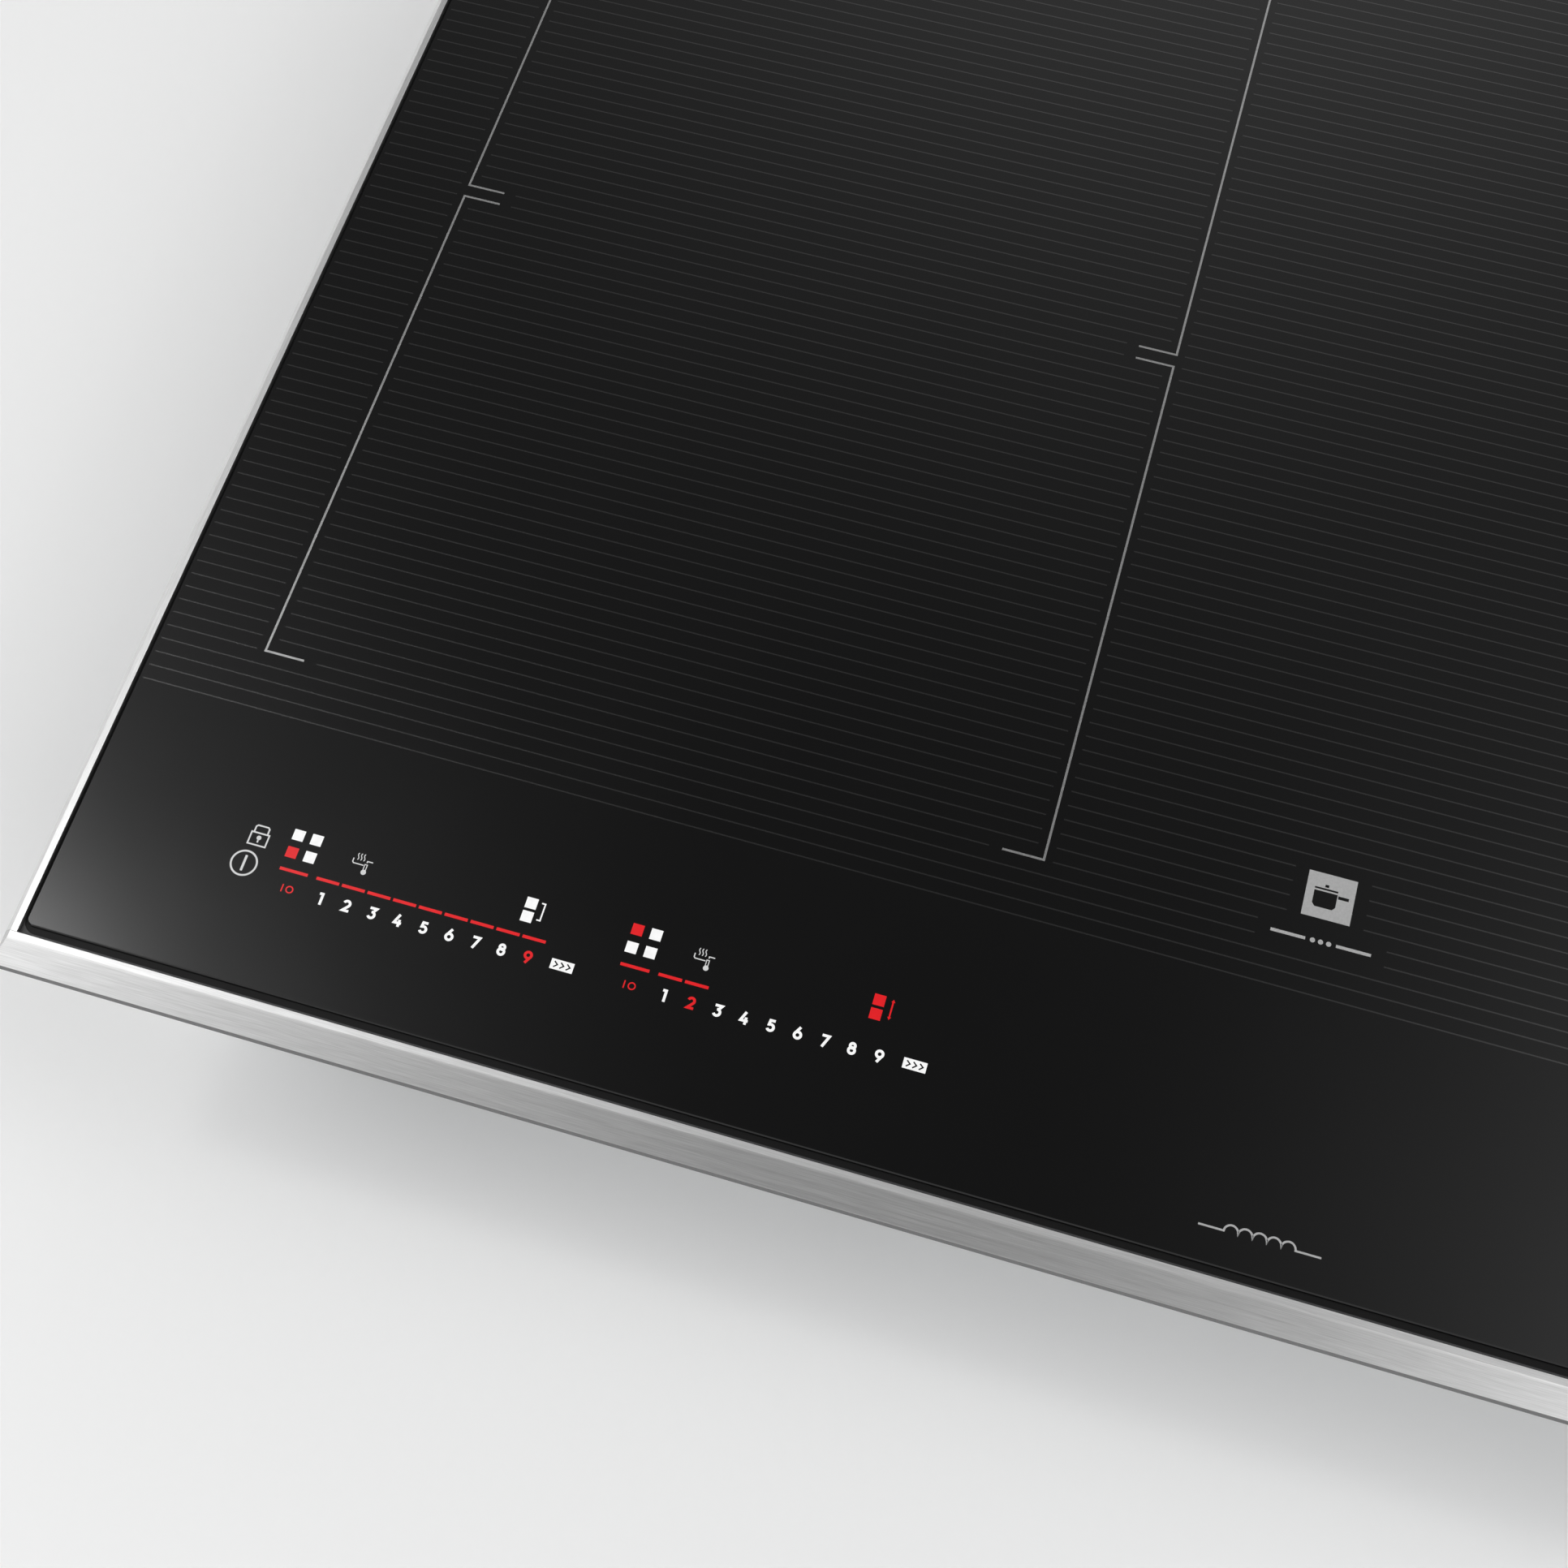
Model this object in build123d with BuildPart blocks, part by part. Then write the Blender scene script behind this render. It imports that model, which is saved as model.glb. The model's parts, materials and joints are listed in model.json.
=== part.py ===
from build123d import *
import os

os.makedirs("parts", exist_ok=True)

# A built-in induction cooktop with four zones. All sizes are in mm.
# z = 0 is the countertop it rests on. +X is the cook's right and -Y is the cook's side.

# Outside sizes over the steel trims
WIDTH = 778.0
DEPTH = 543.0
HALF_W = WIDTH / 2
HALF_D = DEPTH / 2

# Steel trims: a narrow flat rim, then a bevel. The front trim has a wide brushed slope instead.
TRIM_TOP = 8.4
TRIM_SHEET = 0.7
TRIM_SKIRT = 0.5  # gap between the trims' outer edge and the countertop
RIM = 2.1
SIDE_BEVEL = 2.1
SIDE_TRIM = RIM + SIDE_BEVEL
REAR_TRIM = SIDE_TRIM
FRONT_TRIM = 10.7
FRONT_SLOPE_DROP = 3.0
TRIM_EDGE_R = 0.25

# Glass and the moulded frame under it
GLASS_TOP = 8.0
GLASS_T = 4.0
GLASS_BOTTOM = GLASS_TOP - GLASS_T
GLASS_CORNER = 2.5
GLASS_EDGE = 0.4
SIDE_GAP = 1.0  # glass edge to side and rear trims
FRONT_GAP = 3.3  # glass edge to front trim
FRAME_TOP = 3.0
FRAME_BOTTOM = 2.0
FRAME_LIP = 0.75  # upstand behind the front trim
FRAME_LIP_TOP = 6.9
FRAME_WINDOW = (700.0, 476.0, 12.0)  # width, depth and corner radius of its opening
FRAME_WINDOW_Y = 2.0
BEAD_TOP = 6.7
BEAD_CORNER = 4.6
BEAD_UNDER = 9.0  # width of the silicone under the glass edge
CLEAR = 0.25
EDGE_CLEAR = 0.7  # frame and foam seal to the inside of the trims
OUTER_CORNER = 1.5
SEAL_WIDER = 2.0  # foam seal's inner edge to the box flange

GLASS_W = WIDTH - 2 * (SIDE_TRIM + SIDE_GAP)
GLASS_FRONT = -HALF_D + FRONT_TRIM + FRONT_GAP
GLASS_REAR = HALF_D - REAR_TRIM - SIDE_GAP
GLASS_D = GLASS_REAR - GLASS_FRONT
GLASS_Y = (GLASS_REAR + GLASS_FRONT) / 2

# Burner box: the galvanised tray that hangs through the countertop
BOX_W = 712.0
BOX_D = 490.0
BOX_BOTTOM = -92.0
BOX_SHEET = 0.8
FLANGE_OUT = 14.0
FLANGE_SCREWS_X = (-240, 0, 240)
FLANGE_SCREWS_Y = (-180, 0, 180)
FLOOR = BOX_BOTTOM + BOX_SHEET
WALL_Y = BOX_D / 2 - BOX_SHEET
SLOT_WIDTH = 3.6
LOUVRES = 22
LOUVRE_PITCH = 9.0
LOUVRE_LENGTH = 24.0
LOUVRE_Z = -36.0
FAN_SLOTS = (2, 10)
FAN_SLOT_PITCH = (38.0, 7.0)
FAN_SLOT_LENGTH = 34.0
BEAD_SPOTS = ((-70, -40), (70, -40))
BEAD_SIZE = (300.0, 12.0, 1.5)  # length, width and height of each pressed stiffening bead

# Cooking zones: two columns, front and rear
ZONE_X = 217.5
ZONE_FRONT_Y = -53.1
ZONE_REAR_Y = 143.2
SIDES = {"left": -1, "right": 1}
ZONES = {
    f"{row}_{side}": (sign * ZONE_X, y)
    for side, sign in SIDES.items()
    for row, y in (("front", ZONE_FRONT_Y), ("rear", ZONE_REAR_Y))
}

# Coil units, and the aluminium plates that they float on
PLATE_TOP = -20.0
PLATE_T = 1.0
COIL_R = 92.0
COIL_HOLE_R = 10.0
MICA_TOP = GLASS_BOTTOM - 0.3
MICA_T = 0.5
TURN_PITCH = 3.4
TURNS = 19
WINDING_T = 3.4
WINDING_TOP = MICA_TOP - MICA_T
CARRIER_TOP = WINDING_TOP - WINDING_T
CARRIER_T = 2.0
CARRIER_BOTTOM = CARRIER_TOP - CARRIER_T
WINDING_INSET = 4.0  # outermost turn to the carrier's edge
TURN_CROWN = 0.6  # rise of each turn's rounded top
FERRITES = 8
FERRITE = (52.0, 14.0, 4.0)
FERRITE_R = 56.0
FERRITE_WALL = 2.0
FERRITE_PLAY = 0.2
FERRITE_POCKET = 3.0
VENT = (26.0, 10.0)
VENT_R = 50.0
SPRINGS = 4
SPRING_R = 76.0
SPRING_ANGLE = 22.5
SPRING_TURNS = 2.5
SPRING_WIRE_R = 0.35
SPRING_MEAN_R = 4.6
SPRING_SEAT = CARRIER_BOTTOM - 5.6
SPRING_CUP_R = 5.2
PIN_R = 2.6
PIN_HOLE_R = 2.9
PIN_END = PLATE_TOP - PLATE_T - 5.0
SENSOR_R = 6.5
SENSOR_STEP = PLATE_TOP + 14.0
SENSOR_TIP_R = 4.0
PLATE_OPENING = (30.0, 12.0)
PLATE_OPENINGS = 6
PLATE_OPENING_R = 40.0
PLATE_FOOT = 10.0
PLATE_WINDOWS = 4
PLATE_WINDOW = (70.0, 6.0)  # length and corner radius of each opening in the plate's legs
PLATE_WINDOW_PITCH = 90.0
PLATE_RAIL = 12.0  # sheet left above and below those openings

# Electronics bays
PLATE_W = 256.0
PLATE_FRONT = -160.0
PLATE_REAR = 240.0
TRAY_W = 228.0
TRAY_FRONT = -150.0
TRAY_REAR = 236.0
TRAY_BASE = FLOOR + 0.2
TRAY_T = 2.0
TRAY_H = 10.0
BOARD_T = 1.6
BOARD_BOTTOM = -83.0
BOARD_TOP = BOARD_BOTTOM + BOARD_T
BOARD_W = 214.0
BOARD_FRONT = -30.0
BOARD_REAR = 228.0
BOARD_Y = (BOARD_FRONT + BOARD_REAR) / 2
BOARD_L = BOARD_REAR - BOARD_FRONT
STANDOFF_R = 3.5
SCREW_R = 1.9
SCREW_HOLE_R = 2.1
SCREW_HEAD = (3.6, 1.0)  # radius and height
FLANGE_SCREW = 1.7
CLAMP_SCREW = 5.0
HEATSINK = (54.0, 190.0, 38.0)
HEATSINK_BASE = 6.0
FIN_COUNT = 9
FIN_T = 2.0

# Components: a box is width, depth and height, and a choke is outer and inner radius and height
COMPONENT_COLUMN = 74.0  # from the heatsink's middle to the components on either side
COMPONENT_CORNER = 2.0
FILM_CAPACITOR = (42.0, 22.0, 32.0)
FILM_CAPACITORS = 3
FILM_PITCH = 46.0
CHOKE = (14.0, 7.0, 16.0)
CHOKE_Y = BOARD_REAR - 28.0
CAN_R = 10.5
CAN_H = 30.0
CAN_PITCH = 24.0
CAN_Y = BOARD_FRONT + 30.0
TRANSISTOR = (5.0, 16.0, 20.0)
TRANSISTORS = 5
TRANSISTOR_PITCH = 34.0
TRANSISTOR_GAP = 1.0

# Cooling fans
FAN_Y = -95.0
FAN_SIZE = 80.0
FAN_BORE_R = 38.0
FAN_H = 25.0
FAN_BOTTOM = TRAY_BASE + TRAY_T
FAN_CORNER = 6.0
FAN_HOLE_PITCH = 71.5
FAN_HOLE_R = 2.2
FAN_ARM = (4.0, 3.0)  # width and thickness of the arms that carry the motor
BEARING_TUBE_R = 4.0
BEARING_TUBE_TOP = FAN_BOTTOM + 17.0
BEARING_FLOOR = FAN_BOTTOM + 1.2
BEARING_R = 1.55
STATOR_R = 12.0
STATOR_BOTTOM = FAN_BOTTOM + 4.5
STATOR_TOP = FAN_BOTTOM + 15.5
HUB_R = 16.5
HUB_WALL = 1.6
HUB_BOTTOM = FAN_BOTTOM + 3.8
HUB_TOP = FAN_BOTTOM + FAN_H - 1.5
HUB_ROOF = 1.5
BLADES = 7
BLADE = (21.0, 1.4, 34.0)  # chord, thickness and pitch angle
BLADE_ROOT_R = 11.5
BLADE_TIP_R = 36.6
BLADE_MIDDLE = FAN_BOTTOM + 14.0
SHAFT_R = 1.5
SHAFT_END = FAN_BOTTOM + 1.6

# Touch controls under the front of the glass
PANEL_W = 676.0
PANEL_FRONT = -WALL_Y + 0.4
PANEL_REAR = -188.0
PANEL_Y = (PANEL_FRONT + PANEL_REAR) / 2
PANEL_D = PANEL_REAR - PANEL_FRONT
PANEL_BOTTOM = -12.0
PANEL_TOP = -2.0
PANEL_WALL = 2.0
CONTROL_BOARD_TOP = -3.4
CONTROL_BOARD_INSET = 4.0
PILLAR_R = 3.0
PILLARS = (7, 2)
PILLAR_PITCH = (110.0, 36.0)
KEY_ROW_Y = -222.0
ICON_ROW_Y = -209.0
BAR_ROW_Y = -218.3
BAR_PITCH = 8.45
BARS = 9
BAR_SIZE = (7.4, 1.0)
SCALE_X = (121.0, 232.5)  # number 1 of the inner and of the outer scale on the right
PAD_R = 3.6
KEY_PADS = (-11.0, 79.0)  # from number 1 of each scale
ICON_PADS = (-11.0, 8.0, 63.0)
END_PAD_X = 326.0
TOUCH_GAP = 0.1  # pads, light guides and probes to the underside of the glass

# Mains filter
FILTER_Y = 70.0
FILTER_SIZE = (116.0, 176.0)
FILTER_SCREWS = (50.0, 80.0)
FILTER_CHOKE = (24.0, 11.0, 24.0)
FILTER_CHOKE_Y = 105.0
FILTER_CAPACITOR = (42.0, 20.0, 28.0)
FILTER_CAPACITOR_PITCH = (52.0, 30.0)
FILTER_CAPACITOR_Y = 40.0
RELAY = (20.0, 16.0, 16.0)
RELAY_PITCH = 30.0
RELAY_Y = 2.0

# Hold-down clamps and the power entry
CLAMP_X = 374.0
CLAMP_Y = 20.0
CLAMP_LEG_TOP = -54.0
CLAMP_SHEET = 2.0
CLAMP_WIDTH = 34.0
CLAMP_TIP = -38.0
CLAMP_END = -90.0
CLAMP_BEYOND = 11.0  # screw to the bracket's outer edge
CLAMP_LEG = 34.0
CLAMP_CORNER = 4.0
CLAMP_NUT = 3.0  # height of the pressed-in nut above the bracket
CLAMP_HUB_R = 5.5
CLAMP_WING = (26.0, 4.4, 12.0)  # length, thickness and height of the thumbscrew's wing
CLAMP_POINT = 0.8
CLAMP_SCREWS = ((-10.0, 10.0), (12.0, 26.0))  # along Y, and down from the top of the leg
THREAD_R = 3.0
THREAD_FIT = 0.05
TERMINAL_Y = 205.0
TERMINALS = 4
TERMINAL_PITCH = 18.0
TERMINAL_BODY = (32.0, 14.0)  # depth and height
TERMINAL_RIB = 8.0
ENTRY_Z = -60.0
ENTRY_R = 8.0
ENTRY_HOLE_R = 11.0


def save(piece, name):
    """Label a finished piece and write it to its own file."""
    piece.part.label = name
    export_step(piece.part, f"parts/{name}.step")


def block(size, centre, top=None, bottom=None, mode=Mode.ADD):
    """A plain block given by its size, the centre of its plan and its top or bottom height."""
    x, y = centre
    base = bottom if bottom is not None else top - size[2]
    with Locations((x, y, base)):
        Box(*size, align=(Align.CENTER, Align.CENTER, Align.MIN), mode=mode)


def posts(spots, radius, bottom, top, mode=Mode.ADD):
    """Round upright posts at the given places, or round holes when they are subtracted."""
    with BuildSketch(Plane.XY.offset(bottom)) as plan:
        with Locations(*spots):
            Circle(radius)
    extrude(plan.sketch, amount=top - bottom, mode=mode)


def block_grid(size, centre, pitch, count, bottom, corner=0):
    """Equal blocks in a grid about a centre, their upright edges rounded if a corner is given."""
    width, depth, height = size
    with BuildSketch(Plane.XY.offset(bottom)) as plan:
        with Locations(centre):
            with GridLocations(*pitch, *count):
                if corner:
                    RectangleRounded(width, depth, corner)
                else:
                    Rectangle(width, depth)
    extrude(plan.sketch, amount=height)


def upright_ring(centre, size, bottom):
    """A flat-ended ring, given by its outer radius, inner radius and height."""
    outer, inner, height = size
    with BuildSketch(Plane.XY.offset(bottom)) as plan:
        with Locations(centre):
            Circle(outer)
            Circle(inner, mode=Mode.SUBTRACT)
    extrude(plan.sketch, amount=height)


def around(spot, radius, count, first):
    """Places spread evenly round a spot. The first angle is in degrees."""
    spokes = [Vector(radius, 0, 0).rotate(Axis.Z, first + index * 360 / count) for index in range(count)]
    return [(spot[0] + spoke.X, spot[1] + spoke.Y) for spoke in spokes]


# ---------------------------------------------------------------- glass, frame, seals and trims


def make_glass():
    with BuildPart() as glass_top:
        with BuildSketch(Plane.XY.offset(GLASS_BOTTOM)):
            with Locations((0, GLASS_Y)):
                RectangleRounded(GLASS_W, GLASS_D, GLASS_CORNER)
        extrude(amount=GLASS_T)
        chamfer(glass_top.faces().sort_by(Axis.Z)[-1].edges(), GLASS_EDGE)
        chamfer(glass_top.faces().sort_by(Axis.Z)[0].edges(), GLASS_EDGE / 2)
    save(glass_top, "glass_top")


def bead_outline(mode=Mode.ADD):
    """Outer edge of the silicone: close to the side trims, short of the front trim."""
    front = -HALF_D + FRONT_TRIM + CLEAR + FRAME_LIP
    rear = HALF_D - REAR_TRIM - CLEAR
    with Locations((0, (front + rear) / 2)):
        RectangleRounded(WIDTH - 2 * (SIDE_TRIM + CLEAR), rear - front, BEAD_CORNER, mode=mode)


def make_bond_seal():
    fit = 0.05
    with BuildPart() as glass_bond_seal:
        with BuildSketch(Plane.XY.offset(FRAME_TOP)):
            bead_outline()
        extrude(amount=BEAD_TOP - FRAME_TOP)
        with BuildSketch(Plane.XY.offset(GLASS_BOTTOM)):
            with Locations((0, GLASS_Y)):
                RectangleRounded(GLASS_W + 2 * fit, GLASS_D + 2 * fit, GLASS_CORNER)
        extrude(amount=GLASS_T, mode=Mode.SUBTRACT)
        with BuildSketch(Plane.XY.offset(FRAME_TOP)):
            with Locations((0, GLASS_Y)):
                RectangleRounded(GLASS_W - 2 * BEAD_UNDER, GLASS_D - 2 * BEAD_UNDER, BEAD_CORNER)
        extrude(amount=GLASS_T, mode=Mode.SUBTRACT)
    save(glass_bond_seal, "glass_bond_seal")


def edge_outline():
    """Outer edge of the frame and of the foam seal, just inside the trims' skirts."""
    inset = TRIM_SHEET + EDGE_CLEAR
    RectangleRounded(WIDTH - 2 * inset, DEPTH - 2 * inset, OUTER_CORNER)


def make_glass_frame():
    with BuildPart() as glass_frame:
        with BuildSketch(Plane.XY.offset(FRAME_BOTTOM)):
            edge_outline()
            with Locations((0, FRAME_WINDOW_Y)):
                RectangleRounded(*FRAME_WINDOW, mode=Mode.SUBTRACT)
        extrude(amount=FRAME_TOP - FRAME_BOTTOM)
        lip_front = -HALF_D + FRONT_TRIM + CLEAR
        with BuildSketch(Plane.XY.offset(FRAME_TOP)):
            with Locations((0, lip_front + BEAD_CORNER)):
                Rectangle(WIDTH - 2 * (SIDE_TRIM + CLEAR), 2 * BEAD_CORNER)
            bead_outline(mode=Mode.SUBTRACT)
        extrude(amount=FRAME_LIP_TOP - FRAME_TOP)
        posts(flange_screw_spots(), SCREW_R, FRAME_BOTTOM, FRAME_TOP, mode=Mode.SUBTRACT)
    save(glass_frame, "glass_frame")


def make_counter_seal():
    with BuildPart() as counter_seal:
        with BuildSketch():
            edge_outline()
            reach = 2 * (FLANGE_OUT + SEAL_WIDER)
            RectangleRounded(BOX_W + reach, BOX_D + reach, BEAD_CORNER, mode=Mode.SUBTRACT)
        extrude(amount=FRAME_BOTTOM)
    save(counter_seal, "counter_seal")


def trim_bar(section, half_length, inset):
    """A filled bar along X with the given YZ section, its two ends cut to the side bevel.

    The inset version is the hollow inside the bent sheet, so it runs out of the bottom.
    """
    below = -5.0
    bottom = TRIM_SKIRT if inset == 0 else below
    outline = [(y, max(z, bottom) if z > 0 else bottom) for y, z in section]
    ends = [
        (-half_length, bottom),
        (-half_length, TRIM_TOP - SIDE_BEVEL),
        (-half_length + SIDE_BEVEL, TRIM_TOP),
        (half_length - SIDE_BEVEL, TRIM_TOP),
        (half_length, TRIM_TOP - SIDE_BEVEL),
        (half_length, bottom),
    ]
    with BuildPart() as bar:
        with BuildSketch(Plane.YZ) as profile:
            with BuildLine():
                Polyline(*outline, close=True)
            make_face()
            if inset:
                offset(amount=-inset, kind=Kind.INTERSECTION)
            else:
                upper = profile.vertices().filter_by(lambda v: v.Z > TRIM_SKIRT + 1)
                fillet(upper, TRIM_EDGE_R)
        extrude(amount=half_length + 1, both=True)
        with BuildSketch(Plane.XZ):
            with BuildLine():
                Polyline(*ends, close=True)
            make_face()
            if inset:
                offset(amount=-inset, kind=Kind.INTERSECTION)
        extrude(amount=DEPTH, both=True, mode=Mode.INTERSECT)
    return bar


def hollow_trim(section, half_length):
    """Bent-sheet trim: the filled bar less its inside, its inner wall cut off at the frame."""
    outside = trim_bar(section, half_length, 0)
    inside = trim_bar(section, half_length, TRIM_SHEET)
    with BuildPart() as trim:
        add(outside.part)
        add(inside.part, mode=Mode.SUBTRACT)
        below_frame = (WIDTH - 2 * TRIM_SHEET, DEPTH - 2 * TRIM_SHEET, 2 * FRAME_TOP)
        block(below_frame, (0, 0), top=FRAME_TOP, mode=Mode.SUBTRACT)
    return trim


def make_cross_trims():
    front = [
        (-HALF_D, 0),
        (-HALF_D, TRIM_TOP - FRONT_SLOPE_DROP),
        (-HALF_D + FRONT_TRIM - RIM, TRIM_TOP),
        (-HALF_D + FRONT_TRIM, TRIM_TOP),
        (-HALF_D + FRONT_TRIM, 0),
    ]
    rear = [
        (HALF_D, 0),
        (HALF_D, TRIM_TOP - SIDE_BEVEL),
        (HALF_D - SIDE_BEVEL, TRIM_TOP),
        (HALF_D - REAR_TRIM, TRIM_TOP),
        (HALF_D - REAR_TRIM, 0),
    ]
    save(hollow_trim(front, HALF_W), "trim_front")
    save(hollow_trim(rear, HALF_W), "trim_rear")


def make_side_trim(side, sign):
    """A channel bent from one strip, butted between the front and rear trims."""
    butt_gap = 0.1
    start = -HALF_D + FRONT_TRIM + butt_gap
    end = HALF_D - REAR_TRIM - butt_gap
    inner = sign * (HALF_W - SIDE_TRIM)
    outer = sign * HALF_W
    with BuildPart() as trim:
        with BuildSketch(Plane.XZ.offset(-start)):
            with BuildLine():
                Polyline(
                    (inner, FRAME_TOP),
                    (inner, TRIM_TOP),
                    (outer - sign * SIDE_BEVEL, TRIM_TOP),
                    (outer, TRIM_TOP - SIDE_BEVEL),
                    (outer, TRIM_SKIRT),
                )
                offset(amount=TRIM_SHEET, side=Side.RIGHT if sign > 0 else Side.LEFT)
            make_face()
        extrude(amount=-(end - start))
    save(trim, f"trim_{side}")


# ---------------------------------------------------------------- burner box and what hangs on it


def flange_screw_spots():
    """Screws that hold the box flange up to the glass frame."""
    x = (BOX_W + FLANGE_OUT) / 2
    y = (BOX_D + FLANGE_OUT) / 2
    beside = [(sign * x, along) for sign in (-1, 1) for along in FLANGE_SCREWS_Y]
    return beside + [(along, sign * y) for sign in (-1, 1) for along in FLANGE_SCREWS_X]


def board_screw_spots(sign):
    edge = 6.0
    columns = (sign * ZONE_X - BOARD_W / 2 + edge, sign * ZONE_X + BOARD_W / 2 - edge)
    return [(x, y) for x in columns for y in (BOARD_FRONT + edge, BOARD_REAR - edge)]


def clamp_screw_spots():
    """Places along Y and Z of the four screws that hold a bracket to the box wall."""
    return [(CLAMP_Y + dy, CLAMP_LEG_TOP - drop) for dy in CLAMP_SCREWS[0] for drop in CLAMP_SCREWS[1]]


def louvre_rows(face_y, centre_x):
    """Upright exhaust slots through the wall whose outside lies at face_y."""
    with BuildSketch(Plane.XZ.offset(-face_y)) as slots:
        with Locations((centre_x, LOUVRE_Z)):
            with GridLocations(LOUVRE_PITCH, 1, LOUVRES, 1):
                SlotOverall(LOUVRE_LENGTH, SLOT_WIDTH, rotation=90)
    extrude(slots.sketch, amount=2 * BOX_SHEET, both=True, mode=Mode.SUBTRACT)


def floor_beads():
    """Pressed stiffening beads, up into the box so that the floor stays flat below."""
    length, width, height = BEAD_SIZE
    with BuildSketch(Plane.XY.offset(FLOOR)) as raised:
        with Locations(*BEAD_SPOTS):
            SlotOverall(length, width, rotation=90)
    extrude(raised.sketch, amount=height)
    with BuildSketch(Plane.XY.offset(BOX_BOTTOM)) as hollow:
        with Locations(*BEAD_SPOTS):
            SlotOverall(length - 2 * BOX_SHEET, width - 2 * BOX_SHEET, rotation=90)
    extrude(hollow.sketch, amount=height, mode=Mode.SUBTRACT)


def box_floor():
    """Floor panel with its stiffening beads, filter standoffs and air inlets under the fans."""
    with BuildPart() as floor:
        block((BOX_W - 2 * BOX_SHEET, BOX_D - 2 * BOX_SHEET, BOX_SHEET), (0, 0), bottom=BOX_BOTTOM)
        floor_beads()
        posts(filter_screw_spots(), STANDOFF_R, BOX_BOTTOM, BOARD_BOTTOM)
        posts(filter_screw_spots(), SCREW_HOLE_R, FLOOR, BOARD_BOTTOM, mode=Mode.SUBTRACT)
        for sign in SIDES.values():
            posts(board_screw_spots(sign), SCREW_HOLE_R, BOX_BOTTOM, FLOOR, mode=Mode.SUBTRACT)
            with BuildSketch(Plane.XY.offset(BOX_BOTTOM)):
                with Locations((sign * ZONE_X, FAN_Y)):
                    with GridLocations(*FAN_SLOT_PITCH, *FAN_SLOTS):
                        SlotOverall(FAN_SLOT_LENGTH, SLOT_WIDTH)
            extrude(amount=BOX_SHEET, mode=Mode.SUBTRACT)
    return floor.part


def box_side(sign):
    """Side wall between the front and rear walls, with its bracket's screw holes."""
    with BuildPart() as wall:
        size = (BOX_SHEET, BOX_D - 2 * BOX_SHEET, FRAME_BOTTOM - BOX_BOTTOM)
        block(size, (sign * (BOX_W - BOX_SHEET) / 2, 0), bottom=BOX_BOTTOM)
        with BuildSketch(Plane.YZ.offset(sign * BOX_W / 2)):
            with Locations(*clamp_screw_spots()):
                Circle(SCREW_HOLE_R)
        extrude(amount=2 * BOX_SHEET, both=True, mode=Mode.SUBTRACT)
    return wall.part


def box_end(sign):
    """Front or rear wall with its exhaust slots. The rear one has the power entry too."""
    with BuildPart() as wall:
        size = (BOX_W, BOX_SHEET, FRAME_BOTTOM - BOX_BOTTOM)
        block(size, (0, sign * (BOX_D - BOX_SHEET) / 2), bottom=BOX_BOTTOM)
        for side in SIDES.values():
            louvre_rows(sign * BOX_D / 2, side * ZONE_X)
        if sign > 0:
            with BuildSketch(Plane.XZ.offset(-BOX_D / 2)):
                with Locations((0, ENTRY_Z)):
                    Circle(ENTRY_HOLE_R)
            extrude(amount=2 * BOX_SHEET, both=True, mode=Mode.SUBTRACT)
    return wall.part


def box_flange(across, sign):
    """Flat strip, spot-welded along the top of a wall, that screws to the glass frame."""
    bottom = FRAME_BOTTOM - BOX_SHEET
    with BuildPart() as strip:
        if across:
            size = (BOX_W + 2 * FLANGE_OUT, FLANGE_OUT, BOX_SHEET)
            block(size, (0, sign * (BOX_D + FLANGE_OUT) / 2), bottom=bottom)
        else:
            size = (FLANGE_OUT, BOX_D, BOX_SHEET)
            block(size, (sign * (BOX_W + FLANGE_OUT) / 2, 0), bottom=bottom)
        posts(flange_screw_spots(), SCREW_HOLE_R, bottom, FRAME_BOTTOM, mode=Mode.SUBTRACT)
    return strip.part


def make_burner_box():
    """Welded from flat panels, so they meet face to face and stay separate solids."""
    panels = [box_floor()]
    for sign in SIDES.values():
        panels += [box_side(sign), box_end(sign), box_flange(False, sign), box_flange(True, sign)]
    with BuildPart() as burner_box:
        pass
    burner_box.part = Part([panel.solid() for panel in panels])
    save(burner_box, "burner_box")


def make_supply_bushing():
    """Snap-in bushing in the rear wall, through which the supply lead leaves."""
    collar = 3.0
    sleeve = 9.0
    catch = (2.4, 5.0, 0.6)
    catch_gap = 0.6
    outside = Plane.XZ.offset(-BOX_D / 2)
    with BuildPart() as supply_bushing:
        with BuildSketch(outside):
            with Locations((0, ENTRY_Z)):
                Circle(ENTRY_HOLE_R + collar)
        extrude(amount=-collar)
        with BuildSketch(outside):
            with Locations((0, ENTRY_Z)):
                Circle(ENTRY_HOLE_R - 0.1)
        extrude(amount=sleeve)
        with BuildSketch(outside.offset(BOX_SHEET + catch_gap)):
            with Locations((0, ENTRY_Z)):
                with PolarLocations(ENTRY_HOLE_R - 0.4, 4):
                    RectangleRounded(*catch)
        extrude(amount=collar)
        with BuildSketch(outside.offset(sleeve)):
            with Locations((0, ENTRY_Z)):
                Circle(ENTRY_R)
        extrude(amount=-sleeve - collar, mode=Mode.SUBTRACT)
    save(supply_bushing, "supply_bushing")


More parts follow.
